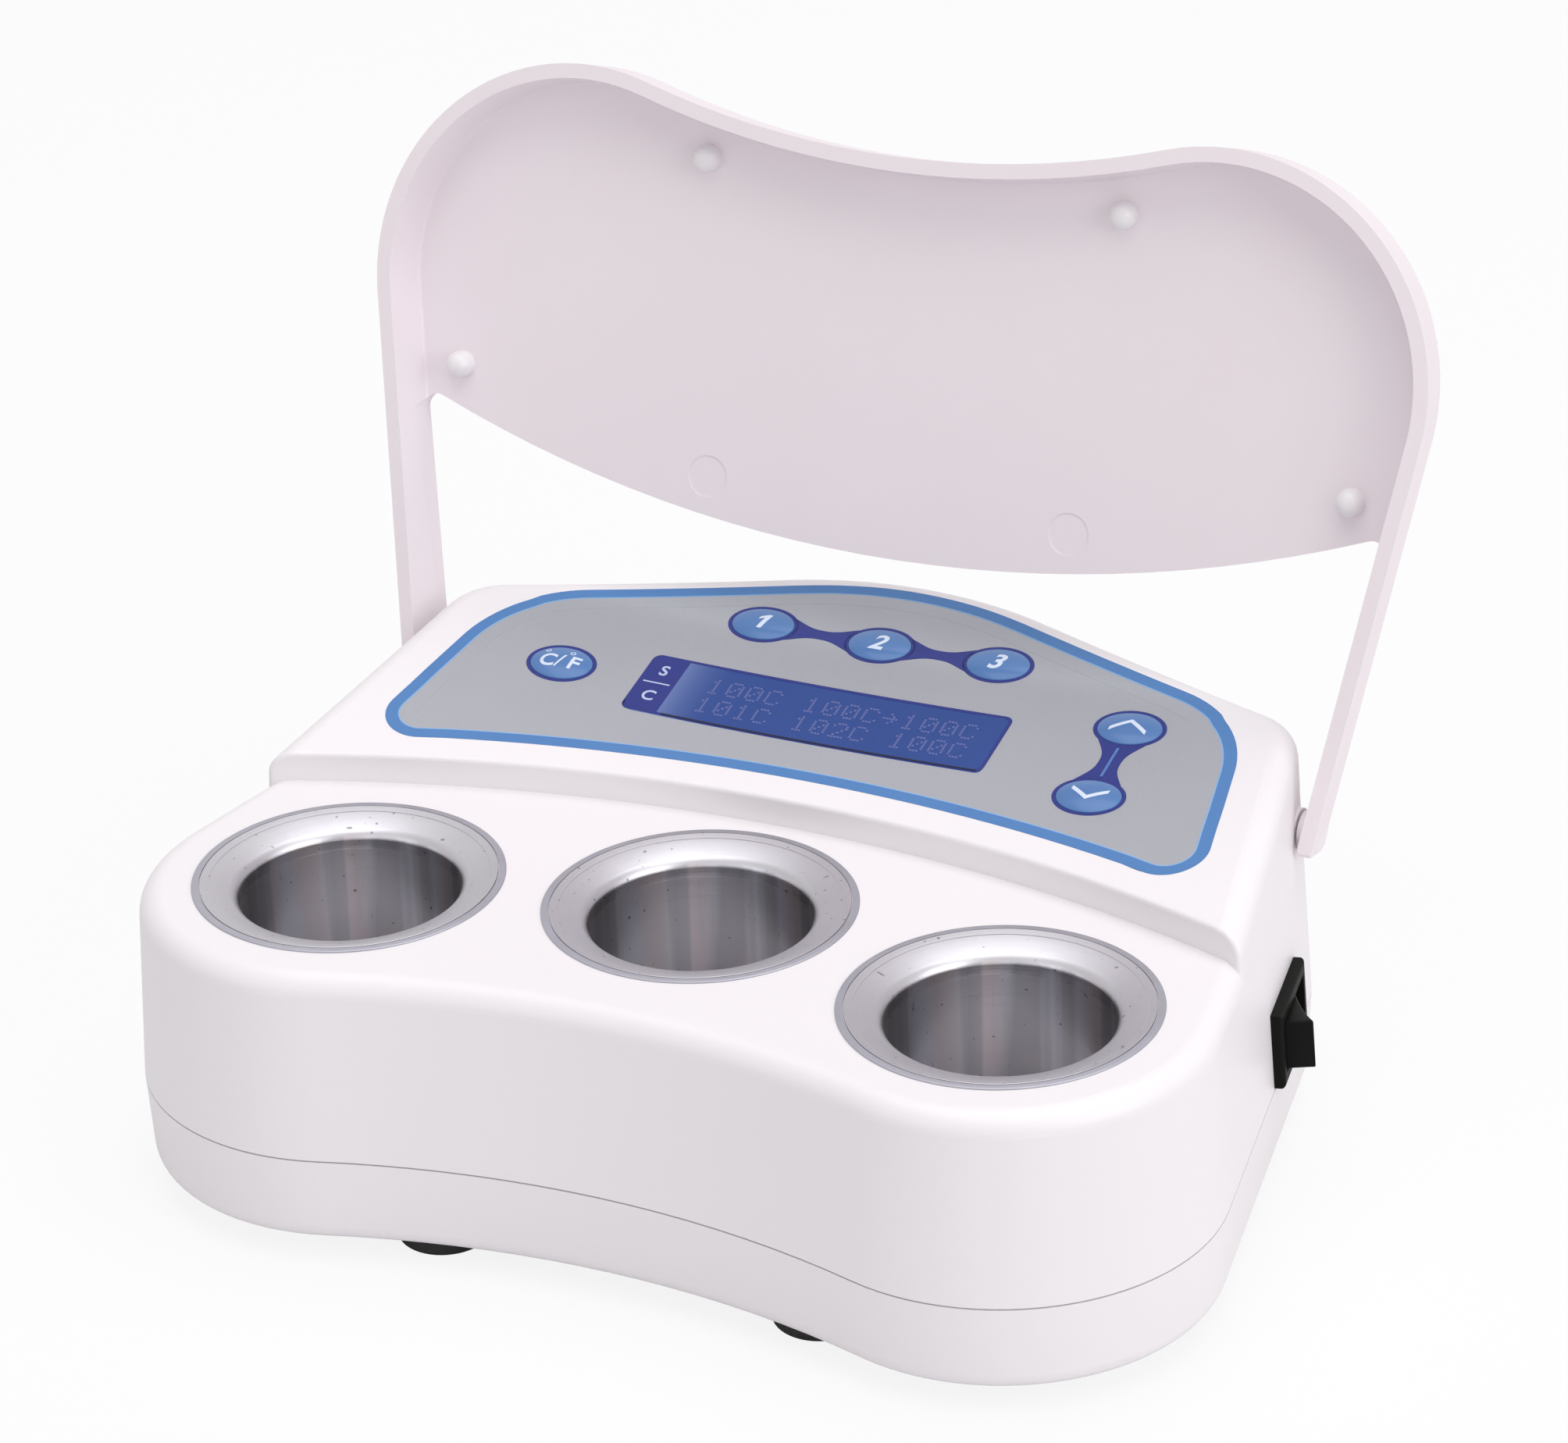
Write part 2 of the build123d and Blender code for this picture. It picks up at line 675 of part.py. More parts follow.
def heated_cup(place):
    """Turned cup: dished flange, rounded lip, plain bore, neck for the lock ring."""
    with BuildPart() as cup:
        with BuildSketch(Plane.XZ):
            with BuildLine():
                Polyline(
                    (0, cup_bottom_z),
                    (well_outer_radius, cup_bottom_z),
                    (well_outer_radius, deck_z - wall - lock_ring_height),
                    (well_neck_radius, deck_z - wall - lock_ring_height),
                    (well_neck_radius, deck_z),
                    (well_flange_radius, deck_z),
                    (well_flange_radius, flange_top_z),
                    (well_bore_radius, lip_z),
                    (well_bore_radius, cup_floor_z),
                    (0, cup_floor_z),
                    close=True,
                )
            make_face()
        revolve(axis=Axis.Z, revolution_arc=360)
        lip = cup.edges().filter_by(GeomType.CIRCLE).filter_by(
            lambda e: abs(e.radius - well_bore_radius) < 0.01 and abs(e.center().Z - lip_z) < 0.01
        )
        corner = cup.edges().filter_by(GeomType.CIRCLE).filter_by(
            lambda e: abs(e.radius - well_bore_radius) < 0.01 and abs(e.center().Z - cup_floor_z) < 0.01
        )
        fillet(lip, well_lip_radius)
        fillet(corner, well_corner_radius)
        with BuildSketch(Plane.XY.offset(cup_bottom_z)):
            Circle(sensor_radius)
        extrude(amount=sensor_socket, mode=Mode.SUBTRACT)
    return cup.part.translate(Vector(*place, 0))


def trim_ring(place):
    """Ring on the deck, round the cup's flange."""
    with BuildPart() as ring:
        with BuildSketch(Plane.XY.offset(deck_z)):
            Circle(trim_ring_radius)
            Circle(well_flange_radius + trim_ring_gap, mode=Mode.SUBTRACT)
        extrude(amount=trim_ring_height)
        outer_edge = ring.edges().filter_by(GeomType.CIRCLE).group_by(Axis.Z)[-1].sort_by(SortBy.RADIUS)[-1]
        fillet(outer_edge, trim_ring_edge_radius)
    return ring.part.translate(Vector(*place, 0))


def lock_ring(place):
    """Nut that draws the cup down on the deck, notched for a pin spanner."""
    with BuildPart() as nut:
        with BuildSketch(Plane.XY.offset(deck_z - wall)):
            Circle(lock_ring_radius)
            Circle(well_neck_radius, mode=Mode.SUBTRACT)
            with PolarLocations(lock_ring_radius, lock_ring_notches):
                Rectangle(lock_ring_notch, lock_ring_notch, mode=Mode.SUBTRACT)
        extrude(amount=-lock_ring_height)
    return nut.part.translate(Vector(*place, 0))


def heater_band(place):
    """Band heater round the cup, split at the rear with two ears and their clamp screw."""
    outer = well_outer_radius + heater_thickness
    ear_middle = outer + heater_ear / 2 - heater_thickness / 2
    with BuildPart() as band:
        with BuildSketch(Plane.XY.offset(deck_z - heater_drop)):
            Circle(outer)
            with Locations((0, ear_middle)):
                Rectangle(heater_slit + 2 * heater_thickness, heater_ear + heater_thickness)
            Circle(well_outer_radius, mode=Mode.SUBTRACT)
            with Locations((0, ear_middle)):
                Rectangle(heater_slit, 2 * heater_ear + heater_thickness, mode=Mode.SUBTRACT)
        extrude(amount=-heater_height)
        screw_plane = Plane(
            origin=(-heater_slit, outer + heater_ear / 2, deck_z - heater_drop - heater_height / 2),
            x_dir=(0, 1, 0),
            z_dir=(1, 0, 0),
        )
        with BuildSketch(screw_plane):
            Circle(screw_radius)
        extrude(amount=2 * heater_slit)
    return band.part.translate(Vector(*place, 0))


def heat_sensor(place):
    """Brass temperature probe screwed into the underside of the cup."""
    with BuildPart() as sensor:
        with BuildSketch(Plane.XY.offset(cup_bottom_z)):
            RegularPolygon(sensor_head / 2, 6, major_radius=False)
        extrude(amount=-sensor_head_height)
        with BuildSketch(Plane.XY.offset(cup_bottom_z + sensor_socket)):
            Circle(sensor_radius)
        extrude(amount=-sensor_length)
    return sensor.part.translate(Vector(*place, 0))


for side_name, place in well_places.items():
    for make_piece, kind in (
        (heated_cup, "wax_cup"),
        (trim_ring, "trim_ring"),
        (lock_ring, "lock_ring"),
        (heater_band, "heater_band"),
        (heat_sensor, "heat_sensor"),
    ):
        piece = make_piece(place)
        piece.label = f"{kind}_{side_name}"
        export_step(piece, f"parts/{piece.label}.step")

# ---- panel: overlay, window and keys ---------------------------------------------------------
with BuildPart() as panel_overlay:
    add(console_slab(overlay_outline(0), 0, overlay_thickness))
    with BuildSketch(console_plane(0, panel_middle_y, 2 * wall)):
        with Locations((display_x, 0)):
            RectangleRounded(display_length, display_width, display_corner)
    extrude(amount=4 * wall, mode=Mode.SUBTRACT)
    for plane in key_planes.values():
        with BuildSketch(plane.offset(-2 * wall)):
            Ellipse(key_half_length + key_clearance, key_half_width + key_clearance)
        extrude(amount=4 * wall, mode=Mode.SUBTRACT)
panel_overlay.part.label = "panel_overlay"
export_step(panel_overlay.part, "parts/panel_overlay.step")

with BuildPart() as display_window:
    with BuildSketch(console_plane(0, panel_middle_y, 2 * wall)):
        with Locations((display_x, 0)):
            RectangleRounded(display_length, display_width, display_corner)
    extrude(amount=4 * wall)
    add(above_console(0), mode=Mode.SUBTRACT)
    add(above_console(overlay_thickness), mode=Mode.INTERSECT)
display_window.part.label = "display_window"
export_step(display_window.part, "parts/display_window.step")

for name, plane in key_planes.items():
    shoulder_depth = wall * square + key_clearance
    plunger_gap = key_travel + tact_gap
    stem_depth = tact_spot(plane)[1] - tact_height - tact_plunger_height - plunger_gap
    crown_radius = (key_half_length**2 + key_crown**2) / (2 * key_crown)
    with BuildPart() as key:
        with BuildSketch(plane.offset(-shoulder_depth - key_flange_thickness)):
            Ellipse(key_half_length, key_half_width)
        extrude(amount=shoulder_depth + key_flange_thickness + key_proud + key_crown)
        with Locations(plane.offset(key_proud + key_crown - crown_radius)):
            Sphere(crown_radius, mode=Mode.INTERSECT)
        with BuildSketch(plane.offset(-shoulder_depth)):
            Ellipse(key_half_length + key_flange, key_half_width + key_flange)
        extrude(amount=-key_flange_thickness)
        with BuildSketch(plane.offset(-shoulder_depth)):
            Circle(key_stem_radius)
        extrude(amount=shoulder_depth - stem_depth)
    key.part.label = name
    export_step(key.part, f"parts/{name}.step")

# ---- display and key board, hung under the console -------------------------------------------
with BuildPart() as display_module:
    with BuildSketch(console_plane(0, panel_middle_y, display_depth)):
        with Locations((display_x, 0)):
            Rectangle(display_frame_length, display_frame_width)
    extrude(amount=-display_frame_height)
display_module.part.label = "display_module"
export_step(display_module.part, "parts/display_module.step")

with BuildPart() as display_board:
    with BuildSketch(console_plane(0, panel_middle_y, display_board_depth)):
        with Locations((display_x, 0)):
            Rectangle(display_board_length, display_board_width)
    extrude(amount=-board_thickness)
    with BuildSketch(console_plane(0, panel_middle_y, display_board_depth + board_thickness)):
        with Locations((display_x, 0)):
            with GridLocations(
                display_board_length - 2 * board_post_radius,
                display_board_width - 2 * board_post_radius, 2, 2
            ):
                Circle(board_post_radius)
    extrude(amount=-stack_spacer)
display_board.part.label = "display_board"
export_step(display_board.part, "parts/display_board.step")

with BuildPart() as keypad_board:
    with BuildSketch(key_board_plane):
        with Locations((0, key_board_setback)):
            Rectangle(key_board_length, key_board_width)
        with Locations(*board_posts):
            Circle(board_screw_radius + screw_clearance, mode=Mode.SUBTRACT)
    extrude(amount=-board_thickness)
    with BuildSketch(Plane.XY.offset(seam_z)):
        add(casing_outline(-wall - key_board_margin))
        with Locations(*foot_places):
            Circle(post_radius + screw_clearance, mode=Mode.SUBTRACT)
    extrude(amount=console_top_z - seam_z, mode=Mode.INTERSECT)
keypad_board.part.label = "keypad_board"
export_step(keypad_board.part, "parts/keypad_board.step")

with BuildPart() as key_contacts:
    for plane in key_planes.values():
        spot = Plane(origin=tact_spot(plane)[0], x_dir=(1, 0, 0), z_dir=plane.z_dir)
        seat = Plane(origin=tact_spot(plane)[0], x_dir=(1, 0, 0), z_dir=key_board_plane.z_dir)
        with BuildSketch(seat):
            Rectangle(tact_size, tact_size)
        extrude(amount=tact_height)
        with BuildSketch(spot.offset(tact_height / 2)):
            Circle(tact_plunger_radius)
        extrude(amount=tact_height / 2 + tact_plunger_height)
key_contacts.part.label = "key_contacts"
export_step(key_contacts.part, "parts/key_contacts.step")

with BuildPart() as board_screws:
    with BuildSketch(key_board_plane.offset(-board_thickness)):
        with Locations(*board_posts):
            Circle(board_screw_head_radius)
    extrude(amount=-board_screw_head_height)
    with BuildSketch(key_board_plane.offset(-board_thickness)):
        with Locations(*board_posts):
            Circle(board_screw_radius)
    extrude(amount=board_thickness + board_screw_reach)
board_screws.part.label = "board_screws"
export_step(board_screws.part, "parts/board_screws.step")

# ---- control board and transformer on the floor ----------------------------------------------
board_y = well_row_y + control_board_offset
board_bottom_z = floor_z + wall + standoff_height
with BuildPart() as control_board:
    with BuildSketch(Plane.XY.offset(board_bottom_z)):
        with Locations((control_board_x, board_y)):
            Rectangle(control_board_width, control_board_depth)
    extrude(amount=board_thickness)
control_board.part.label = "control_board"
export_step(control_board.part, "parts/control_board.step")

with BuildPart() as board_components:
    with BuildSketch(Plane.XY.offset(board_bottom_z + board_thickness)):
        with Locations((control_board_x, board_y + standoff_inset)):
            with GridLocations(relay_pitch, 0, len(well_places), 1):
                Rectangle(relay_width, relay_length)
    extrude(amount=relay_height)
    with BuildSketch(Plane.XY.offset(board_bottom_z + board_thickness)):
        with Locations((control_board_x, board_y - relay_length / 2 - standoff_inset / 2)):
            with GridLocations(relay_pitch, 0, 2, 1):
                Circle(capacitor_radius)
    extrude(amount=capacitor_height)
board_components.part.label = "board_components"
export_step(board_components.part, "parts/board_components.step")

transformer_y = well_row_y + transformer_offset
plate_top_z = floor_z + wall + transformer_plate
with BuildPart() as transformer_core:
    with BuildSketch(Plane.XY.offset(floor_z + wall)):
        with Locations((transformer_x, transformer_y)):
            Rectangle(transformer_width + 2 * transformer_foot, transformer_depth)
            with GridLocations(transformer_width + transformer_foot, 0, 2, 1):
                Circle(screw_radius, mode=Mode.SUBTRACT)
    extrude(amount=transformer_plate)
    with BuildSketch(Plane.XY.offset(plate_top_z)):
        with Locations((transformer_x, transformer_y)):
            Rectangle(transformer_width, transformer_depth)
            with GridLocations(coil_width, 0, 2, 1):
                Rectangle(coil_margin, transformer_depth, mode=Mode.SUBTRACT)
    extrude(amount=transformer_height)
    for height in (plate_top_z, plate_top_z + transformer_height - coil_margin):
        with BuildSketch(Plane.XY.offset(height)):
            with Locations((transformer_x, transformer_y)):
                Rectangle(transformer_width, transformer_depth)
        extrude(amount=coil_margin)
transformer_core.part.label = "transformer_core"
export_step(transformer_core.part, "parts/transformer_core.step")

with BuildPart() as transformer_coil:
    with BuildSketch(Plane.XY.offset(plate_top_z + coil_margin)):
        with Locations((transformer_x, transformer_y)):
            Rectangle(coil_width + coil_margin, transformer_depth + 2 * coil_overhang)
            Rectangle(coil_width - coil_margin, transformer_depth, mode=Mode.SUBTRACT)
    extrude(amount=transformer_height - 2 * coil_margin)
transformer_coil.part.label = "transformer_coil"
export_step(transformer_coil.part, "parts/transformer_coil.step")

# ---- rocker switch in the right side ---------------------------------------------------------
bezel_face = switch_face.offset(bezel_thickness)
rocker_plane = Plane(
    origin=bezel_face.origin - bezel_face.z_dir * rocker_pivot_depth,
    x_dir=-bezel_face.x_dir,
    z_dir=bezel_face.y_dir,
)
pocket_reach = rocker_half_length + rocker_clearance
pocket_floor = rocker_keel_radius + rocker_clearance
with BuildPart() as switch_housing:
    with BuildSketch(switch_face):
        Rectangle(bezel_length, bezel_height)
    extrude(amount=bezel_thickness)
    bezel_rim = switch_housing.faces().sort_by(Axis(switch_face.origin, switch_face.z_dir))[-1].edges()
    fillet(bezel_rim, bezel_edge_radius)
    with BuildSketch(switch_face):
        Rectangle(switch_body_length, switch_body_height)
    extrude(amount=-switch_body_depth)
    # pocket in which the rocker swings, and the holes for its axle
    with BuildSketch(rocker_plane):
        with Locations((0, -pocket_floor)):
            Rectangle(2 * pocket_reach, 2 * bezel_length, align=(Align.CENTER, Align.MIN))
    extrude(amount=rocker_height / 2 + rocker_clearance, both=True, mode=Mode.SUBTRACT)
    with BuildSketch(rocker_plane):
        Circle(rocker_axle_radius + rocker_axle_clearance)
    extrude(amount=rocker_height / 2 + rocker_clearance + rocker_axle_length, both=True, mode=Mode.SUBTRACT)
    # blade terminals behind
    with BuildSketch(switch_face.offset(-switch_body_depth)):
        with GridLocations(switch_body_length / 3, switch_body_height / 2, 2, 2):
            Rectangle(terminal_width, terminal_length)
    extrude(amount=-terminal_reach)
switch_housing.part.label = "switch_housing"
export_step(switch_housing.part, "parts/switch_housing.step")

with BuildPart() as power_rocker:
    crest = rocker_pivot_depth + rocker_crest
    with BuildSketch(rocker_plane.rotated((0, 0, rocker_throw / 2))):
        with BuildLine():
            Polyline(
                (-rocker_half_length, -rocker_skirt),
                (rocker_half_length, -rocker_skirt),
                (rocker_half_length, crest),
                (0, crest - rocker_hollow),
                (-rocker_half_length, crest),
                close=True,
            )
        make_face()
        Circle(rocker_half_length, mode=Mode.INTERSECT)
        Circle(rocker_keel_radius)
        with Locations((0, crest - rocker_hollow)):
            Rectangle(
                2 * rocker_keel_radius,
                rocker_keel_radius,
                align=(Align.CENTER, Align.MIN),
                mode=Mode.SUBTRACT,
            )
    extrude(amount=rocker_height / 2, both=True)
    with BuildSketch(rocker_plane):
        Circle(rocker_axle_radius)
    extrude(amount=rocker_height / 2 + rocker_axle_length, both=True)
power_rocker.part.label = "power_rocker"
export_step(power_rocker.part, "parts/power_rocker.step")

# ---- mains inlet with its fuse drawer --------------------------------------------------------
inlet_front = inlet_face.offset(inlet_flange_thickness)
socket_floor = inlet_front.offset(-inlet_socket_depth)
with BuildPart() as power_inlet:
    with BuildSketch(inlet_face):
        RectangleRounded(inlet_flange_width, inlet_flange_height, inlet_flange_thickness)
    extrude(amount=inlet_flange_thickness)
    with BuildSketch(inlet_face):
        Rectangle(inlet_body_width, inlet_body_height)
    extrude(amount=-inlet_body_depth)
    with BuildSketch(inlet_front):
        with Locations((0, inlet_socket_rise)):
            socket_mouth = Rectangle(inlet_socket_width, inlet_socket_height)
        chamfer(socket_mouth.vertices().sort_by(Axis.Y)[-2:], inlet_socket_corner)
    extrude(amount=-inlet_socket_depth, mode=Mode.SUBTRACT)
    with BuildSketch(inlet_front):
        with Locations((0, -drawer_drop)):
            Rectangle(drawer_width + 2 * drawer_clearance, drawer_height + 2 * drawer_clearance)
    extrude(amount=-drawer_depth - drawer_clearance, mode=Mode.SUBTRACT)
power_inlet.part.label = "power_inlet"
export_step(power_inlet.part, "parts/power_inlet.step")

with BuildPart() as inlet_contacts:
    with BuildSketch(socket_floor):
        with Locations(
            (0, inlet_socket_rise + contact_offset),
            (-contact_spread, inlet_socket_rise - contact_offset),
            (contact_spread, inlet_socket_rise - contact_offset),
        ):
            Rectangle(contact_thickness, contact_width)
    extrude(amount=contact_length)
inlet_contacts.part.label = "inlet_contacts"
export_step(inlet_contacts.part, "parts/inlet_contacts.step")

with BuildPart() as fuse_drawer:
    with BuildSketch(inlet_front):
        with Locations((0, -drawer_drop)):
            Rectangle(drawer_width, drawer_height)
    extrude(amount=-drawer_depth)
    with BuildSketch(inlet_front):
        with Locations((0, -drawer_drop)):
            Rectangle(drawer_height, drawer_height / 2)
    extrude(amount=drawer_grip)
fuse_drawer.part.label = "fuse_drawer"
export_step(fuse_drawer.part, "parts/fuse_drawer.step")

# ---- hinge: bushes in the casing, pins in the arms -------------------------------------------
boss_face_x = land_x + hinge_face_gap
pin_end_x = hinge_inner_x - clip_gap - 2 * clip_thickness
with BuildPart() as hinge_bushes:
    for side in (-1, 1):
        with BuildSketch(hinge_plane(side, hinge_inner_x)):
            Circle(bush_radius)
            Circle(pin_radius + pin_clearance, mode=Mode.SUBTRACT)
        extrude(amount=land_x - hinge_inner_x)
hinge_bushes.part.label = "hinge_bushes"
export_step(hinge_bushes.part, "parts/hinge_bushes.step")

with BuildPart() as hinge_pins:
    for side in (-1, 1):
        with BuildSketch(hinge_plane(side, pin_end_x)):
            Circle(pin_radius)
        extrude(amount=boss_face_x + pin_bite - pin_end_x)
hinge_pins.part.label = "hinge_pins"
export_step(hinge_pins.part, "parts/hinge_pins.step")

with BuildPart() as hinge_clips:
    for side in (-1, 1):
        with BuildSketch(hinge_plane(side, hinge_inner_x - clip_gap)):
            Circle(pin_radius + clip_rim)
            Circle(pin_radius, mode=Mode.SUBTRACT)
            with Locations((0, -pin_radius - clip_rim)):
                Rectangle(pin_radius, 2 * (pin_radius + clip_rim), mode=Mode.SUBTRACT)
        extrude(amount=-clip_thickness)
hinge_clips.part.label = "hinge_clips"
export_step(hinge_clips.part, "parts/hinge_clips.step")

# ---- splash cover, drawn closed where it fits the casing, then swung open --------------------
hinge_axis = Axis((0, hinge_y, deck_z), (1, 0, 0))
open_angle = 90 + cover_lean
cover_normal = Vector(cos(radians(cover_side_angle)), sin(radians(cover_side_angle)))
rim_z = deck_z - cover_overlap
panel_z = deck_z + cover_crown - cover_panel
cover_tail_y = hinge_y + arm_end
cover_reach = well_spacing + 2 * cover_rim_radius


def cover_outline(grow, tail):
    """Plan outline of the closed cover at its rim, `grow` outside it, open-ended past the hinge."""
    spread = cover_waist_radius + cover_rim_radius
    centre_y = well_row_y - sqrt(spread**2 - well_spacing**2)
    waist = degrees(atan2(well_spacing, well_row_y - centre_y))
    lobe = cover_rim_radius + grow
    with BuildSketch() as outline:
        with BuildLine():
            CenterArc((0, centre_y), spread - lobe, 90, -waist)
            front = CenterArc((well_spacing, well_row_y), lobe, -90 - waist, cover_side_angle + 90 + waist)
            run = (cover_tail_y + tail - (front @ 1).Y) / cover_normal.X
            side = Line(front @ 1, (front @ 1) + Vector(-cover_normal.Y, cover_normal.X) * run)
            Line(side @ 1, (0, (side @ 1).Y))
            mirror(about=Plane.YZ)
        make_face()
    return outline.sketch


with BuildSketch(Plane.YZ) as arm_profile:
    with Locations((cover_tail_y, rim_z)):
        Rectangle(cover_reach, cover_overlap + cover_crown, align=(Align.MAX, Align.MIN))
    tip, crown = arm_profile.vertices().sort_by(Axis.X)[-2:].sort_by(Axis.Y)
    fillet(tip, arm_tip_radius)
    fillet(crown, arm_end_radius)

with BuildPart() as cover:
    with BuildSketch(Plane.XY.offset(rim_z)):
        add(cover_outline(0, cover_crown))
    extrude(amount=cover_overlap + cover_crown, taper=cover_outer_draft)
    fillet(cover.faces().sort_by(Axis.Z)[-1].edges(), cover_edge_radius)
    with BuildSketch(Plane.XY.offset(rim_z)):
        add(cover_outline(-cover_wall, 2 * cover_crown))
    extrude(amount=panel_z - rim_z, taper=cover_inner_draft, mode=Mode.SUBTRACT)
    inside = cover.faces().filter_by(Axis.Z).group_by(Axis.Z)[1]
    fillet(inside.edges().filter_by(lambda e: e.center().Y < cover_tail_y), cover_corner_radius)
    # room for the console between the arms
    with BuildSketch(Plane.XY.offset(rim_z)) as room:
        add(casing_outline(cover_overlap * tan(radians(upper_draft)) + cover_side_gap))
        with Locations((0, step_centre_y)):
            Circle(step_radius - cover_step_gap, mode=Mode.SUBTRACT)
        fillet(room.vertices().sort_by(Axis.Y)[:2], arm_root_radius)
    extrude(amount=cover_overlap + cover_crown, mode=Mode.SUBTRACT)
    # rounded ends of the arms, turned clear of the casing about the hinge
    with BuildSketch(Plane.YZ.offset(-cover_reach)):
        with Locations((cover_tail_y - arm_end_radius, deck_z)):
            Rectangle(2 * cover_reach, 2 * cover_reach, align=(Align.MIN, Align.CENTER))
        add(arm_profile.sketch_local, mode=Mode.SUBTRACT)
    extrude(amount=2 * cover_reach, mode=Mode.SUBTRACT)
    side_fall = tan(radians(side_angle)) + tan(radians(upper_draft))
    sweep_x = casing_side_x + arm_sweep_radius * side_fall + hinge_face_gap
    with BuildSketch(hinge_plane(1, 0)):
        Circle(arm_sweep_radius)
    extrude(amount=sweep_x, both=True, mode=Mode.SUBTRACT)
    for side in (-1, 1):
        face = hinge_plane(side, boss_face_x)
        with BuildSketch(face):
            Circle(arm_boss_radius)
        extrude(amount=pin_bite + cover_wall / 2)
        with BuildSketch(face):
            Circle(pin_radius)
        extrude(amount=pin_bite, mode=Mode.SUBTRACT)
    with BuildSketch(Plane.XY.offset(panel_z)):
        with GridLocations(2 * ejector_x, 0, 2, 1):
            with Locations((0, well_row_y + ejector_offset)):
                Circle(ejector_radius)
    extrude(amount=ejector_depth, mode=Mode.SUBTRACT)

with BuildPart() as bumpers:
    for x, offset in bumper_places:
        with BuildSketch(Plane.XY.offset(panel_z)):
            with Locations((-x, well_row_y + offset), (x, well_row_y + offset)):
                Circle(bumper_radius)
        extrude(amount=-bumper_height)
    tips = bumpers.faces().filter_by(Axis.Z).group_by(Axis.Z)[0]
    fillet(tips.edges(), bumper_tip_radius)

cover_open = cover.part.rotate(hinge_axis, -open_angle)
cover_open.label = "splash_cover"
export_step(cover_open, "parts/splash_cover.step")
bumpers_open = bumpers.part.rotate(hinge_axis, -open_angle)
bumpers_open.label = "cover_bumpers"
export_step(bumpers_open, "parts/cover_bumpers.step")

whole = Compound(children=[upper_casing.part, cover_open, rubber_feet.part, power_rocker.part])
print("overall", whole.bounding_box())
print("rocker axis", rocker_plane.origin, rocker_plane.z_dir)
for name, plane in key_planes.items():
    print(name, plane.origin, plane.z_dir)
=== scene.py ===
"""Bench-top wax heater: three turned cups in a white moulded casing, a sloping silver panel with blue
keys and a two-line display, a black rocker switch and a splash cover standing open on its arms."""
import bpy
import bmesh
from math import cos, hypot, pi, radians, sin, sqrt, tan
from mathutils import Matrix, Vector


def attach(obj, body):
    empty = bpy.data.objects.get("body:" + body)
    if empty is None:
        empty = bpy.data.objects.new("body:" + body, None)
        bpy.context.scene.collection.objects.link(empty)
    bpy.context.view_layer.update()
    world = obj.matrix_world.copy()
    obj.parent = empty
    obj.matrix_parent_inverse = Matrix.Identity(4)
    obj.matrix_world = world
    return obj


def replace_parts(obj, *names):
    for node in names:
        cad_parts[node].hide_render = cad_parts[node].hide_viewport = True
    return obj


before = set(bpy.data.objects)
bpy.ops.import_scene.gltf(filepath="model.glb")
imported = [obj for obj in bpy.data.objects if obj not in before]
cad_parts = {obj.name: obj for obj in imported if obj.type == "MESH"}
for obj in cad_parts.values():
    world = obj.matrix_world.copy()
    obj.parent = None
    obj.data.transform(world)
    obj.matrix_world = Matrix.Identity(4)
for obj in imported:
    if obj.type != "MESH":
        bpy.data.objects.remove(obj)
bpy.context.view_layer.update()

# ---- Camera --------------------------------------------------------------------------------------------
# A long lens looks down on the heater from the user's side, a little to the right.
# Heading, dip and tilt were solved from the wells, the seam and the panel in the photograph.
picture_width = 2008
focal_pixels = 7161.0
heading = radians(26.37)
dip = radians(26.61)
tilt = radians(-2.32)
camera_place = Vector((0.3825, -0.7613, 0.5043))

camera_data = bpy.data.cameras.new("camera")
camera_data.sensor_width = 36.0
camera_data.lens = focal_pixels / picture_width * camera_data.sensor_width
camera_data.clip_start = 0.05
camera = bpy.data.objects.new("camera", camera_data)
bpy.context.scene.collection.objects.link(camera)
camera.matrix_world = (
    Matrix.Translation(camera_place)
    @ Matrix.Rotation(heading, 4, "Z")
    @ Matrix.Rotation(pi / 2 - dip, 4, "X")
    @ Matrix.Rotation(tilt, 4, "Z")
)
bpy.context.scene.camera = camera
bpy.context.scene.view_settings.view_transform = "Standard"

# ---- Bench and light -----------------------------------------------------------------------------------
# A pale bench top under a large overhead softbox, with a second one on the right and a weak one in front.
# The camera and the bright metal see a white surround; the bench keeps the heater's soft shadow.
bench_size = 12.0
bench_colour = (0.86, 0.86, 0.87, 1.0)
bench_glow = 0.86
glow_colour = (1.0, 1.0, 1.0, 1.0)
surround_colour = (1.0, 0.985, 1.0, 1.0)
surround_strength = 0.45
softboxes = {
    # name: (place, width, height, watts)
    "overhead": ((0.10, 0.05, 1.6), 1.8, 1.5, 15.9),
    "right": ((1.5, -0.35, 0.75), 1.2, 1.0, 8.6),
    "front": ((-0.5, -1.6, 0.8), 1.6, 1.0, 2.4),
}
softbox_target = Vector((0.0, 0.0, 0.06))


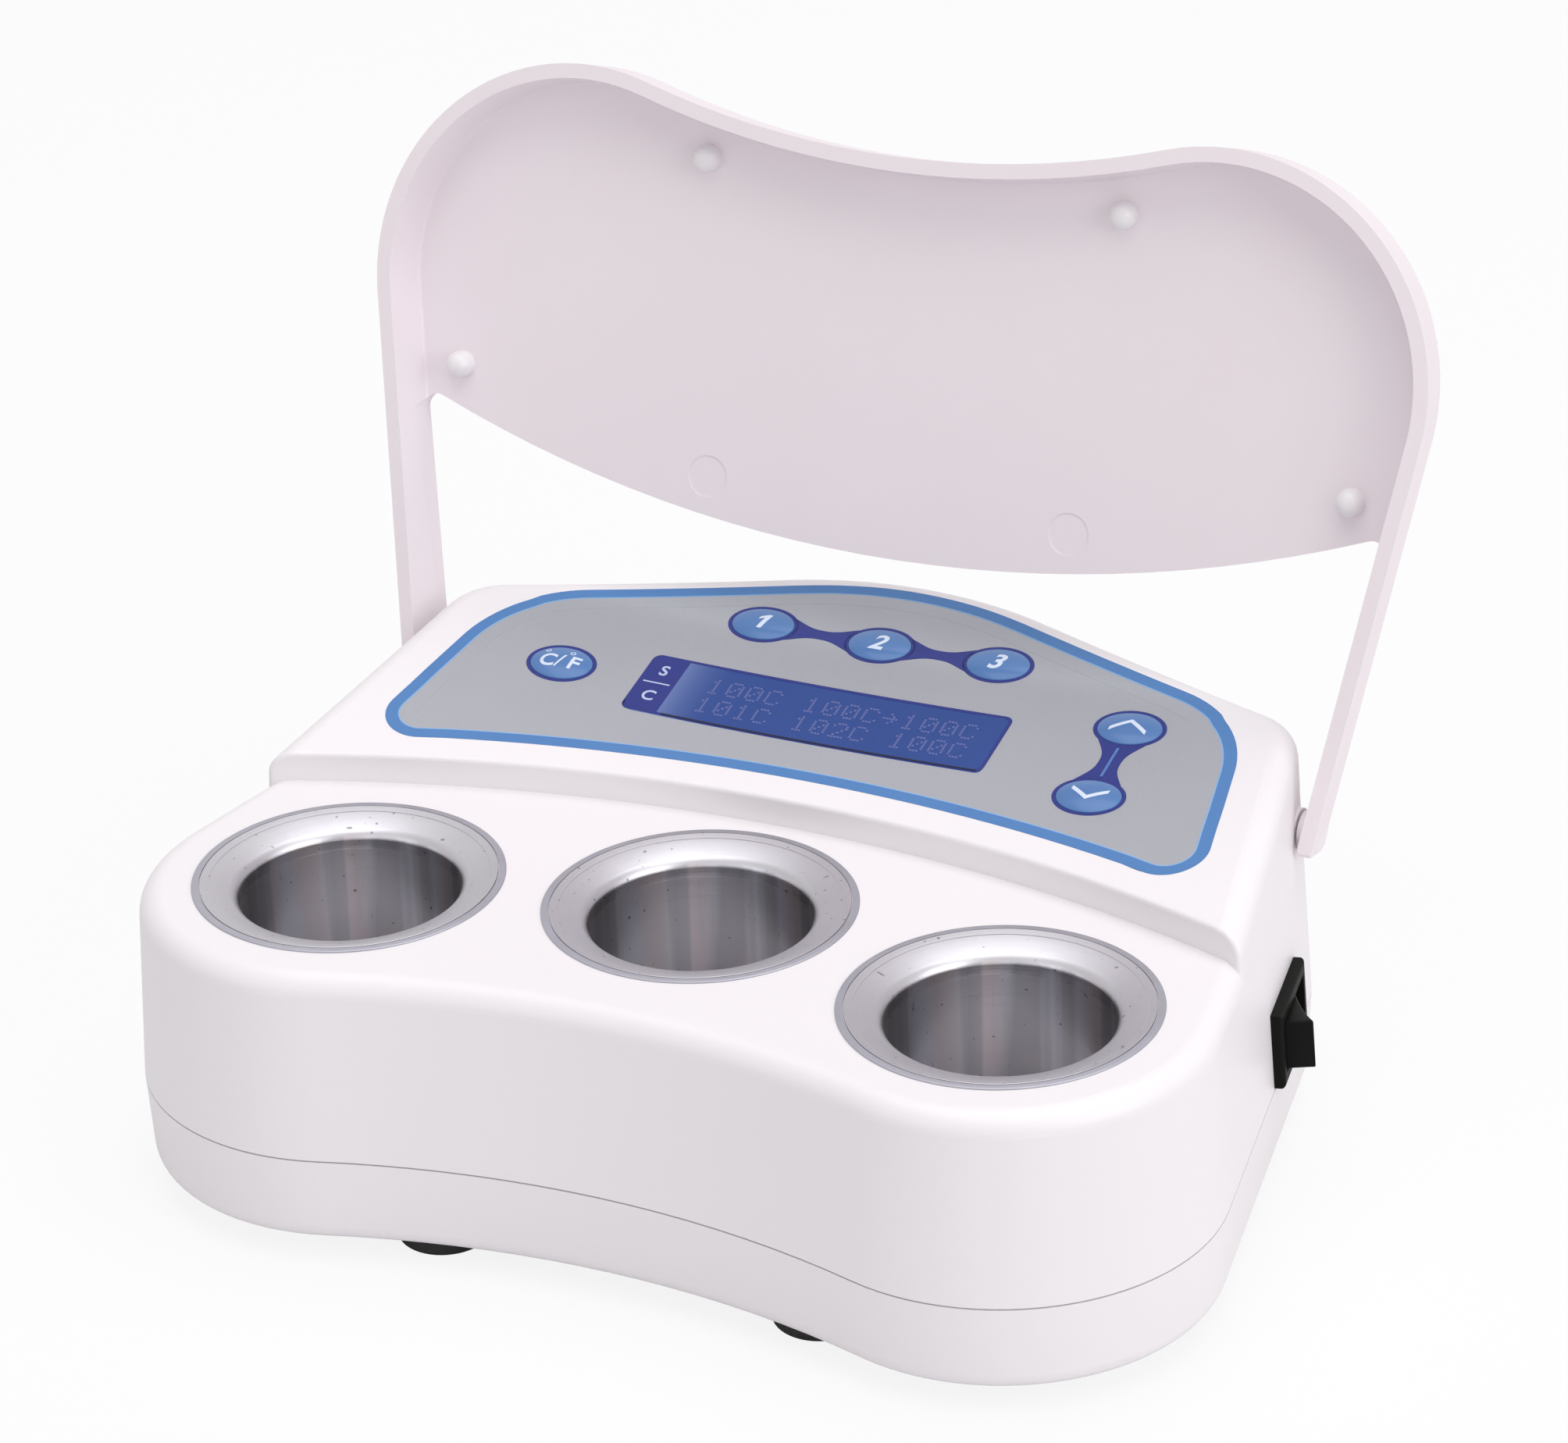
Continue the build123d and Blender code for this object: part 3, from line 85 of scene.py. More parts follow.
class Signal:
    """A node socket in a finish. Arithmetic on signals adds Math nodes to the finish."""

    def __init__(self, tree, socket=None):
        self.tree = tree
        self.socket = socket

    def node(self, kind, settings=None, sockets=None, output=0):
        """Adds a node: its settings first, then numbers or signals into its sockets; gives one output."""
        made = self.tree.nodes.new(kind)
        for name, value in (settings or {}).items():
            setattr(made, name, value)
        for name, value in (sockets or {}).items():
            if isinstance(value, Signal):
                self.tree.links.new(value.socket, made.inputs[name])
            else:
                made.inputs[name].default_value = value
        return Signal(self.tree, made.outputs[output] if made.outputs else None)

    def math(self, operation, first, second=0.0):
        return self.node("ShaderNodeMath", {"operation": operation}, {0: first, 1: second})

    def __add__(self, other):
        return self.math("ADD", self, other)

    def __radd__(self, other):
        return self.math("ADD", other, self)

    def __sub__(self, other):
        return self.math("SUBTRACT", self, other)

    def __rsub__(self, other):
        return self.math("SUBTRACT", other, self)

    def __mul__(self, other):
        return self.math("MULTIPLY", self, other)

    def __truediv__(self, other):
        return self.math("DIVIDE", self, other)

    def clamped(self):
        """The signal held between 0 and 1."""
        return self.node("ShaderNodeClamp", sockets={"Value": self})

    def rise(self, level, contrast):
        """0 up to a level, then up to 1; a negative contrast runs the other way."""
        return ((self - level) * contrast).clamped()

    def tint(self, low, high):
        """Colour that runs from low to high as the signal runs from 0 to 1."""
        return self.node("ShaderNodeMix", {"data_type": "RGBA"}, {"Factor": self, 6: low, 7: high}, output=2)


def new_tree(owner):
    """Empties the owner's node tree and gives a signal to build it with."""
    owner.use_nodes = True
    owner.node_tree.nodes.clear()
    return Signal(owner.node_tree)


world = bpy.data.worlds.new("surround")
bpy.context.scene.world = world
world_tree = new_tree(world)
camera_ray = world_tree.node("ShaderNodeLightPath", output="Is Camera Ray")
glossy_ray = world_tree.node("ShaderNodeLightPath", output="Is Glossy Ray")
clear_ray = world_tree.node("ShaderNodeLightPath", output="Is Transmission Ray")
seen = (camera_ray + glossy_ray + clear_ray).clamped()
strength = surround_strength + seen * (1.0 - surround_strength)
background = world_tree.node("ShaderNodeBackground", sockets={"Color": surround_colour, "Strength": strength})
world_tree.node("ShaderNodeOutputWorld", sockets={"Surface": background})

bench_finish = bpy.data.materials.new("bench_top")
bench_tree = new_tree(bench_finish)
glow_share = bench_tree.node("ShaderNodeLightPath", output="Is Camera Ray") * bench_glow
matt = bench_tree.node("ShaderNodeBsdfDiffuse", sockets={"Color": bench_colour})
glow = bench_tree.node("ShaderNodeEmission", sockets={"Color": glow_colour, "Strength": 1.0})
mixed = bench_tree.node("ShaderNodeMixShader", sockets={0: glow_share, 1: matt, 2: glow})
bench_tree.node("ShaderNodeOutputMaterial", sockets={"Surface": mixed})

bench_mesh = bmesh.new()
bmesh.ops.create_grid(bench_mesh, x_segments=1, y_segments=1, size=bench_size / 2)
bench_data = bpy.data.meshes.new("bench")
bench_mesh.to_mesh(bench_data)
bench_mesh.free()
bench = bpy.data.objects.new("bench", bench_data)
bench_data.materials.append(bench_finish)
bpy.context.scene.collection.objects.link(bench)

for name, (place, width, height, watts) in softboxes.items():
    lamp_data = bpy.data.lights.new("softbox_" + name, "AREA")
    lamp_data.shape = "RECTANGLE"
    lamp_data.size = width
    lamp_data.size_y = height
    lamp_data.energy = watts
    lamp = bpy.data.objects.new("softbox_" + name, lamp_data)
    lamp.matrix_world = (
        Matrix.Translation(place)
        @ (softbox_target - Vector(place)).to_track_quat("-Z", "Y").to_matrix().to_4x4()
    )
    bpy.context.scene.collection.objects.link(lamp)

# ---- Casing --------------------------------------------------------------------------------------------
# Two shells of white ABS with a satin skin, moulded in drafted tools and screwed together from below.
# The seam between them is a shadow line all the way round.
mm = 0.001
# A slight lilac tint in this white is a painted tint standing in for the pinkish light in the casing's shade.
casing_shade_tinted = (0.875, 0.840, 0.866, 1.0)
casing_shade_tinted_warm = (0.880, 0.844, 0.862, 1.0)
skin_clouds = 38.0             # per metre
skin_grain = 0.45 * mm
skin_depth = 0.05 * mm
cloud_gloss = 0.08


def noise(start, scale, detail=2.0):
    """Noise on the object's own coordinates; scale in features per metre."""
    place = start.node("ShaderNodeTexCoord", output="Object")
    return start.node("ShaderNodeTexNoise", sockets={"Vector": place, "Scale": scale, "Detail": detail})


def finish_with(material, start, height, bump, **sockets):
    """Ends a material with a Principled shader; bump gives the strength and depth of the height signal."""
    strength, depth = bump
    sockets["Normal"] = start.node(
        "ShaderNodeBump", sockets={"Height": height, "Strength": strength, "Distance": depth}
    )
    named = {name.replace("_", " "): value for name, value in sockets.items()}
    shader = start.node("ShaderNodeBsdfPrincipled", sockets=named)
    start.node("ShaderNodeOutputMaterial", sockets={"Surface": shader})
    return material


def moulded(name, colour, second_colour, roughness, grain_bump, specular=0.5):
    """Moulded plastic: a fine sparked grain, faint clouding in colour and gloss."""
    material = bpy.data.materials.new(name)
    start = new_tree(material)
    clouds = noise(start, skin_clouds, 3.0)
    return finish_with(
        material, start, noise(start, 1.0 / skin_grain), (grain_bump, skin_depth),
        Base_Color=clouds.tint(colour, second_colour),
        Roughness=roughness + clouds * cloud_gloss,
        Specular_IOR_Level=specular,
    )


def paint(node, material):
    """Gives a solid of the frame its finish."""
    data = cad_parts[node].data
    data.materials.clear()
    data.materials.append(material)


white_casing = moulded("white_casing", casing_shade_tinted, casing_shade_tinted_warm, roughness=0.34, grain_bump=0.10)
paint("upper_casing", white_casing)
paint("lower_casing", white_casing)

# ---- Feet and the casing's screws ----------------------------------------------------------------------
# Four black rubber feet pressed into recesses of the lower shell; a zinc-plated screw goes up through each
# one and draws the two shells together.
rubber_colour = (0.016, 0.016, 0.017, 1.0)
rubber_dusty = (0.045, 0.044, 0.044, 1.0)
zinc_colour = (0.60, 0.60, 0.585, 1.0)
zinc_shade = (0.46, 0.465, 0.46, 1.0)
metal_clouds = 120.0           # per metre
metal_grain = 900.0
metal_bump = (0.05, 0.05 * mm)
metal_gloss = 0.12


def metal(name, colour, second_colour, roughness):
    """Bare metal with a little cloudiness in colour and polish."""
    material = bpy.data.materials.new(name)
    start = new_tree(material)
    clouds = noise(start, metal_clouds, 3.0)
    return finish_with(
        material, start, noise(start, metal_grain), metal_bump,
        Base_Color=clouds.tint(colour, second_colour),
        Metallic=1.0,
        Roughness=roughness + clouds * metal_gloss,
    )


rubber = moulded("black_rubber", rubber_colour, rubber_dusty, roughness=0.72, grain_bump=0.25, specular=0.3)
paint("rubber_feet", rubber)
zinc_steel = metal("zinc_steel", zinc_colour, zinc_shade, roughness=0.30)
paint("casing_screws", zinc_steel)

# ---- Wax cups ------------------------------------------------------------------------------------------
# Three cups turned from aluminium bar: a dished flange, a rounded lip, a plain bore with a fine step under
# the lip. Tool marks run round them; the flange is finer than the bore, whose light and dark, blue and brown
# streaks are painted reflection mixed with wax stains.
deck_z = 54.4 * mm
well_places = {
    "left": (-60.7 * mm, -37.3 * mm), "middle": (0.0, -24.4 * mm), "right": (60.7 * mm, -37.3 * mm),
}
flange_radius = 25.6 * mm
flange_edge = 0.4 * mm
edge_ease = 0.15 * mm
neck_radius = 24.2 * mm
neck_drop = 6.5 * mm
outer_radius = 21.4 * mm
bottom_drop = 34.0 * mm
bore_radius = 19.1 * mm
lip_drop = 1.7 * mm
lip_round = 1.54 * mm
bore_step = 0.12 * mm
bore_step_drop = 3.0 * mm
floor_drop = 31.0 * mm
floor_round = 3.0 * mm
turning_steps = 160
merge_distance = 0.001 * mm
aluminium = (0.545, 0.535, 0.565, 1.0)
aluminium_dull = (0.45, 0.44, 0.465, 1.0)
# Bore colours: blue and brown stand for wax stains and painted reflection together; the dark one is painted
# dark reflection.
bore_blue_stain_and_reflection = (0.78, 0.80, 0.87, 1.0)
bore_brown_stain_and_reflection = (0.78, 0.70, 0.68, 1.0)
bore_reflection_dark = (0.43, 0.43, 0.445, 1.0)
pit_colour = (0.12, 0.11, 0.10, 1.0)
cup_clouds = 90.0              # per metre
cup_roughness = 0.36
cloud_shade = 0.8
mark_rates = (9000.0, 5200.0, 30.0)    # per metre outward, down the bore and sideways
mark_shade = 0.3
mark_bump = (0.55, 0.04 * mm)
reflection_streak_rates = (170.0, 170.0, 5.0)     # per metre round the bore and down it
reflection_streak_rise = (0.45, 12.0)     # level and contrast
reflection_streak_share = 0.8
stain_and_reflection_scale = 0.7
stain_and_reflection_rise = (0.44, 9.0)
pit_rate = 1100.0
pit_rise = (0.79, 16.0)
pit_shade = 0.7
bore_fade_start = 0.4 * mm     # outside the bore
bore_fade = 0.5 * mm
bore_polish = 0.19


def turned_aluminium(name, place):
    """Lathe-turned aluminium about a vertical axis: rings of tool marks; painted reflection and wax stains
    streak the bore.
    """
    material = bpy.data.materials.new(name)
    start = new_tree(material)
    spot = start.node("ShaderNodeTexCoord", output="Object")
    to_axis = (-place[0], -place[1], -deck_z)
    spot = start.node("ShaderNodeMapping", sockets={"Vector": spot, "Location": to_axis})
    split = start.node("ShaderNodeSeparateXYZ", sockets={"Vector": spot})
    x, y, z = (Signal(start.tree, socket) for socket in split.socket.node.outputs)
    radius = start.math("SQRT", x * x + y * y)

    def drawn_noise(values, rates, scale, detail):
        """Noise drawn out at its own rate along each of three signals."""
        drawn = {axis: value * rate for axis, value, rate in zip("XYZ", values, rates)}
        drawn = start.node("ShaderNodeCombineXYZ", sockets=drawn)
        return start.node("ShaderNodeTexNoise", sockets={"Vector": drawn, "Scale": scale, "Detail": detail})

    marks = drawn_noise((radius, z, x), mark_rates, 1.0, 3.0)
    reflection_streaks = drawn_noise((x, y, z), reflection_streak_rates, 1.0, 2.0)
    stains_and_reflections = drawn_noise((x, y, z), reflection_streak_rates, stain_and_reflection_scale, 0.0)
    clouds = noise(start, cup_clouds, 4.0)
    pits = noise(start, pit_rate, 0.0).rise(*pit_rise)
    in_bore = ((bore_radius + bore_fade_start - radius) / bore_fade).clamped()
    bare = (clouds * cloud_shade + marks * mark_shade).tint(aluminium, aluminium_dull)
    # In the bore, light and dark streaks are painted reflection, tinted blue and brown as wax stains too.
    stain_and_reflection_tint = stains_and_reflections.rise(*stain_and_reflection_rise).tint(bore_blue_stain_and_reflection, bore_brown_stain_and_reflection)
    painted_reflection_streaks = reflection_streaks.rise(*reflection_streak_rise) * reflection_streak_share + clouds * (1.0 - reflection_streak_share)
    metal_colour = in_bore.tint(bare, painted_reflection_streaks.tint(bore_reflection_dark, stain_and_reflection_tint))
    return finish_with(
        material, start, marks, mark_bump,
        Base_Color=(pits * pit_shade).tint(metal_colour, pit_colour),
        Metallic=1.0,
        Roughness=cup_roughness + clouds * cloud_gloss - in_bore * bore_polish,
    )


def link_piece(mesh, name, material, body, smooth_angle=30):
    """Makes an object of a finished mesh, gives it its finish and lets it ride on a body."""
    data = bpy.data.meshes.new(name)
    for face in mesh.faces:
        face.smooth = True
    for edge in mesh.edges:
        edge.smooth = edge.calc_face_angle(0.0) < radians(smooth_angle)
    mesh.to_mesh(data)
    mesh.free()
    data.materials.append(material)
    piece = bpy.data.objects.new(name, data)
    bpy.context.scene.collection.objects.link(piece)
    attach(piece, body)
    return piece


def round_corners(mesh, corners, radius, segments):
    """Rounds corners of a flat shape; radius is how far the round starts from a corner."""
    bmesh.ops.bevel(
        mesh, geom=corners, offset=radius, offset_type="OFFSET", segments=segments, profile=0.5,
        affect="VERTICES", material=-1,
    )


def turn_round(mesh, place):
    """Sweeps a half profile once round its axis and stands the piece in its well."""
    bmesh.ops.spin(
        mesh, geom=mesh.verts[:] + mesh.edges[:], cent=(0, 0, 0), axis=(0, 0, 1), angle=2 * pi,
        steps=turning_steps, use_merge=True,
    )
    bmesh.ops.remove_doubles(mesh, verts=mesh.verts, dist=merge_distance)
    bmesh.ops.recalc_face_normals(mesh, faces=mesh.faces)
    bmesh.ops.translate(mesh, verts=mesh.verts, vec=(place[0], place[1], deck_z))


def turned_cup(place):
    """A cup from its half profile, which runs from the foot up the outside and down the bore."""
    mesh = bmesh.new()
    step_z = -bore_step_drop - lip_drop
    corners = [
        (0.0, -bottom_drop), (outer_radius, -bottom_drop), (outer_radius, -neck_drop),
        (neck_radius, -neck_drop), (neck_radius, 0.0), (flange_radius, 0.0), (flange_radius, flange_edge),
        (bore_radius, -lip_drop), (bore_radius, step_z), (bore_radius + bore_step, step_z - bore_step),
        (bore_radius + bore_step, -floor_drop), (0.0, -floor_drop),
    ]
    points = [mesh.verts.new((radius, 0.0, height)) for radius, height in corners]
    for first, second in zip(points, points[1:]):
        mesh.edges.new((first, second))
    rim, lip, foot = points[6], points[7], points[10]
    round_corners(mesh, [lip], lip_round, 10)
    round_corners(mesh, [foot], floor_round, 8)
    round_corners(mesh, [rim], edge_ease, 3)
    turn_round(mesh, place)
    return mesh


for side, place in well_places.items():
    cup_finish = turned_aluminium("turned_aluminium_" + side, place)
    cup = link_piece(turned_cup(place), "cup_" + side, cup_finish, "heater")
    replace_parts(cup, "wax_cup_" + side)

# ---- Trim rings, lock rings, heaters and probes --------------------------------------------------------
# A grey anodised ring lies round each flange. Under the deck a notched ring draws the cup down, a mica band
# heater in a steel skin is clamped round it, and a brass probe is screwed into its bottom.
anodised = (0.36, 0.36, 0.405, 1.0)
anodised_worn = (0.42, 0.42, 0.46, 1.0)
ring_inner = 25.75 * mm
ring_outer = 27.0 * mm
ring_height = 0.3 * mm
ring_ease = 0.15 * mm
heater_skin = (0.42, 0.38, 0.33, 1.0)
heater_tint = (0.30, 0.26, 0.24, 1.0)
brass_colour = (0.72, 0.52, 0.24, 1.0)
brass_dark = (0.50, 0.34, 0.15, 1.0)

grey_ring = metal("anodised_ring", anodised, anodised_worn, roughness=0.42)
band_skin = metal("heater_skin", heater_skin, heater_tint, roughness=0.38)
brass = metal("brass", brass_colour, brass_dark, roughness=0.30)
for side, place in well_places.items():
    ring_mesh = bmesh.new()
    section = [(ring_inner, 0.0), (ring_outer, 0.0), (ring_outer, ring_height), (ring_inner, ring_height)]
    points = [ring_mesh.verts.new((radius, 0.0, height)) for radius, height in section]
    ring_mesh.faces.new(points)
    round_corners(ring_mesh, [points[2]], ring_ease, 4)
    bmesh.ops.delete(ring_mesh, geom=ring_mesh.faces[:], context="FACES_ONLY")
    turn_round(ring_mesh, place)
    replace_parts(link_piece(ring_mesh, "ring_" + side, grey_ring, "heater"), "trim_ring_" + side)
    paint("lock_ring_" + side, zinc_steel)
    paint("heater_band_" + side, band_skin)
    paint("heat_sensor_" + side, brass)

# ---- Panel overlay -------------------------------------------------------------------------------------
# One printed polyester sheet lies in a shallow bed of the console: a silver-grey ground with fine metallic
# grain, a blue border with a thin pale line inside it, and dark blue grounds that join the keys in groups.
silver = (0.395, 0.412, 0.460, 1.0)
silver_dim = (0.350, 0.354, 0.378, 1.0)
border_blue = (0.090, 0.235, 0.520, 1.0)
border_shade = (0.075, 0.205, 0.480, 1.0)
pale_blue = (0.25, 0.45, 0.74, 1.0)
ink_blue = (0.024, 0.036, 0.235, 1.0)
ink_shade = (0.020, 0.032, 0.205, 1.0)
bar_blue = (0.10, 0.20, 0.50, 1.0)
bar_shade = (0.09, 0.18, 0.46, 1.0)
ink_clouds = 60.0              # per metre
ink_grain = 2200.0
ink_bump = (0.06, 0.03 * mm)
ink_specular = 0.25
film_clouds = 40.0
film_sparkle = 3200.0
film_bump = (0.10, 0.03 * mm)
sparkle_shade = 0.55
sparkle_spread = 0.10
film_metallic = 0.25
film_roughness = 0.44
border_width = 2.3 * mm
pale_line = 0.25 * mm
print_lift = 0.05 * mm
print_depth = 0.10 * mm
margin_width = 5.5 * mm
margin_lift = 0.02 * mm
band_pitch = 6.0 * mm
cut_distance = 0.0001 * mm
sheet_merge = 0.002 * mm
sheet_facing = 0.5             # least upward part of the normal of a top face
sheet_stretch = 1.0155
sheet_shift = 0.45 * mm
sheet_front_y = 16.0 * mm
sheet_front_margin = 0.5 * mm
sheet_bow = 2.1 * mm
sheet_bow_half = 66.0 * mm
sheet_back_y = 44.0 * mm
sheet_back_margin = 0.4 * mm
sheet_peak_half = 22.0 * mm
step_centre_y = -246.4 * mm
step_radius = 252.9 * mm
console_front_z = 59.7 * mm
console_slope = radians(12.6)
key_places = {
    "key_one": (-23.0 * mm, 49.9 * mm),
    "key_two": (0.0, 49.9 * mm),
    "key_three": (23.0 * mm, 49.9 * mm),
    "key_units": (-53.4 * mm, 29.2 * mm),
    "key_up": (52.8 * mm, 38.2 * mm),
    "key_down": (52.8 * mm, 19.5 * mm),
}
key_length = 5.9 * mm
key_width = 4.3 * mm
ground_gap = 0.05 * mm
ground_width = 0.70 * mm
neck_curve = 2.6
bar_place = (52.8 * mm, 28.9 * mm)
bar_size = (0.5 * mm, 8.0 * mm)


def console_height(x, y):
    """Height of the console's top over a point in plan."""
    return console_front_z + tan(console_slope) * (hypot(x, y - step_centre_y) - step_radius)


def console_frame(x, y):
    """Frame on the console at a point in plan: across, up the slope, and square to it."""
    lean = -sin(console_slope) / hypot(x, y - step_centre_y)
    up = Vector((lean * x, lean * (y - step_centre_y), cos(console_slope)))
    across = (Vector((1, 0, 0)) - up * up.x).normalized()
    frame_matrix = Matrix((across, up.cross(across), up)).transposed().to_4x4()
    frame_matrix.translation = (x, y, console_height(x, y))
    return frame_matrix


def ink(name, colour, second_colour, roughness=0.38):
    """Screen-printed ink under a satin film."""
    material = bpy.data.materials.new(name)
    start = new_tree(material)
    clouds = noise(start, ink_clouds, 3.0)
    return finish_with(
        material, start, noise(start, ink_grain, 1.0), ink_bump,
        Base_Color=clouds.tint(colour, second_colour),
        Roughness=roughness + clouds * cloud_gloss,
        Specular_IOR_Level=ink_specular,
    )


def thicken(mesh, height):
    """Gives a flat shape its thickness, upward or downward."""
    thick = bmesh.ops.extrude_face_region(mesh, geom=mesh.faces[:])
    far_side = [item for item in thick["geom"] if isinstance(item, bmesh.types.BMVert)]
    bmesh.ops.translate(mesh, verts=far_side, vec=(0, 0, height))
    bmesh.ops.recalc_face_normals(mesh, faces=mesh.faces)


def print_on_console(mesh, name, material, lift=print_lift):
    """Lays a flat shape on the console as a thin printed layer."""
    for vert in mesh.verts:
        vert.co.z = console_height(vert.co.x, vert.co.y) + lift
    thicken(mesh, -print_depth)
    link_piece(mesh, name, material, "heater", 40)


def cut_fine(mesh, pitch):
    """Cuts a flat shape along a grid so that it can follow a curved top."""
    for axis in (0, 1):
        low = min(vert.co[axis] for vert in mesh.verts)
        high = max(vert.co[axis] for vert in mesh.verts)
        square = (1 - axis, axis, 0)
        for step in range(int(low / pitch) - 1, int(high / pitch) + 2):
            geom = mesh.verts[:] + mesh.edges[:] + mesh.faces[:]
            spot = Vector(square) * (step * pitch)
            bmesh.ops.bisect_plane(mesh, geom=geom, dist=cut_distance, plane_co=spot, plane_no=square)


silver_film = bpy.data.materials.new("silver_film")
film_tree = new_tree(silver_film)
film_haze = noise(film_tree, film_clouds, 3.0)
sparkle = noise(film_tree, film_sparkle, 1.0)
finish_with(
    silver_film, film_tree, sparkle, film_bump,
    Base_Color=(film_haze * (1.0 - sparkle_shade) + sparkle * sparkle_shade).tint(silver, silver_dim),
    Metallic=film_metallic + sparkle * sparkle_spread,
    Roughness=film_roughness + sparkle * sparkle_spread,
)
paint("panel_overlay", silver_film)

# The sheet's outline is the outer edge of the solid overlay, drawn out to where the print ends.
sheet_mesh = bmesh.new()
sheet_mesh.from_mesh(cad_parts["panel_overlay"].data)
bmesh.ops.remove_doubles(sheet_mesh, verts=sheet_mesh.verts, dist=sheet_merge)
hidden = [face for face in sheet_mesh.faces if face.normal.z < sheet_facing]
bmesh.ops.delete(sheet_mesh, geom=hidden, context="FACES")
edge_loop = {max(sheet_mesh.verts, key=lambda vert: vert.co.x)}
fresh = set(edge_loop)
while fresh:
    near = {edge.other_vert(vert) for vert in fresh for edge in vert.link_edges if len(edge.link_faces) == 1}
    fresh = near - edge_loop
    edge_loop |= fresh
inner = [vert for vert in sheet_mesh.verts if vert not in edge_loop]
bmesh.ops.delete(sheet_mesh, geom=inner, context="VERTS")
bmesh.ops.delete(sheet_mesh, geom=sheet_mesh.faces[:], context="FACES_ONLY")
for vert in sheet_mesh.verts:
    x, y = vert.co.x, vert.co.y
    if y < sheet_front_y:
        vert.co.y -= sheet_front_margin + sheet_bow * max(0.0, 1.0 - (x / sheet_bow_half) ** 2)
    if y > sheet_back_y:
        vert.co.y += sheet_back_margin * (1.0 - max(0.0, 1.0 - (x / sheet_peak_half) ** 2))
    vert.co.x = x * sheet_stretch + sheet_shift
bmesh.ops.contextual_create(sheet_mesh, geom=sheet_mesh.edges[:])


def edge_band(outer, inner):
    """Band of the sheet between two distances from its edge."""
    band = sheet_mesh.copy()
    field = band.faces[:][0]
    if outer:
        bmesh.ops.inset_individual(band, faces=[field], thickness=outer, use_even_offset=True)
        bmesh.ops.delete(band, geom=[face for face in band.faces if face is not field], context="FACES")
    bmesh.ops.inset_individual(band, faces=[field], thickness=inner - outer, use_even_offset=True)
    bmesh.ops.delete(band, geom=[field], context="FACES")
    cut_fine(band, band_pitch)
    return band


print_on_console(edge_band(0.0, margin_width), "panel_margin", silver_film, margin_lift)
border_ink = ink("border_ink", border_blue, border_shade)
print_on_console(edge_band(0.0, border_width), "panel_border", border_ink)
pale_ink = ink("pale_ink", pale_blue, pale_blue)
print_on_console(edge_band(border_width, border_width + pale_line), "border_line", pale_ink)
sheet_mesh.free()


def key_ground(mesh, place):
    """Oval ring of ink round one key."""
    made = bmesh.ops.create_circle(mesh, cap_ends=True, radius=1.0, segments=96)["verts"]
    half_length = key_length + ground_gap + ground_width
    half_width = key_width + ground_gap + ground_width
    bmesh.ops.scale(mesh, verts=made, vec=(half_length, half_width, 1.0))
    disc = made[0].link_faces[0]
    bmesh.ops.inset_individual(mesh, faces=[disc], thickness=ground_width, use_even_offset=True)
    bmesh.ops.delete(mesh, geom=[disc], context="FACES")
    ring = [vert for vert in mesh.verts if vert.tag is False]
    bmesh.ops.transform(mesh, verts=ring, matrix=console_frame(*place))
    for vert in ring:
        vert.tag = True


def key_neck(mesh, first, second, along_reach, across_reach, waist, flare):
    """Waisted band of ink between the grounds of two keys."""
    middle = Vector((first[0] + second[0], first[1] + second[1])) / 2
    run = Vector((second[0] - first[0], second[1] - first[1]))
    stretch = hypot(run.x, run.y / cos(console_slope))
    turn = 0.0 if abs(run.x) > abs(run.y) else pi / 2
    made = bmesh.ops.create_grid(mesh, x_segments=32, y_segments=6, size=1.0)["verts"]
    for vert in made:
        along, side = vert.co.x, vert.co.y
        across = side * (waist + (flare - waist) * abs(along) ** neck_curve)
        end = stretch / 2 - along_reach * sqrt(max(0.0, 1.0 - (across / across_reach) ** 2))
        vert.co = (along * end, across, 0.0)
    bmesh.ops.rotate(mesh, verts=made, cent=(0, 0, 0), matrix=Matrix.Rotation(turn, 3, "Z"))
    bmesh.ops.transform(mesh, verts=made, matrix=console_frame(*middle))
    for vert in made:
        vert.tag = True


ground_ink = ink("ground_ink", ink_blue, ink_shade, roughness=0.34)
middle_length = key_length + ground_gap + ground_width / 2
middle_width = key_width + ground_gap + ground_width / 2
groups = {
    # name: (keys, reach of a ground along and across the neck, the neck's waist and flare)
    "digit_ground": (("key_one", "key_two", "key_three"), middle_length, middle_width, 1.25 * mm, 3.6 * mm),
    "arrow_ground": (("key_up", "key_down"), middle_width, middle_length, 2.0 * mm, 5.0 * mm),
    "units_ground": (("key_units",), 0.0, 0.0, 0.0, 0.0),
}
for name, (keys, *neck) in groups.items():
    ground_mesh = bmesh.new()
    for key in keys:
        key_ground(ground_mesh, key_places[key])
    for first, second in zip(keys, keys[1:]):
        key_neck(ground_mesh, key_places[first], key_places[second], *neck)
    print_on_console(ground_mesh, name, ground_ink)

bar_mesh = bmesh.new()
bmesh.ops.create_grid(bar_mesh, x_segments=1, y_segments=12, size=0.5)
bmesh.ops.scale(bar_mesh, verts=bar_mesh.verts, vec=(*bar_size, 1.0))
bmesh.ops.transform(bar_mesh, verts=bar_mesh.verts, matrix=console_frame(*bar_place))
print_on_console(bar_mesh, "arrow_bar", ink("bar_ink", bar_blue, bar_shade), 2 * print_lift)

# ---- Display -------------------------------------------------------------------------------------------
# A two-line liquid crystal display behind a clear window in the overlay. A dark blue frame is printed
# round it, wider at the left where it holds the signs for set and current temperature.
window_y = 28.8 * mm
frame_middle = (-3.15 * mm, 0.35 * mm)
frame_size = (69.9 * mm, 15.7 * mm)
frame_corner = 1.6 * mm
frame_line = 0.60 * mm
sign_block = 7.1 * mm
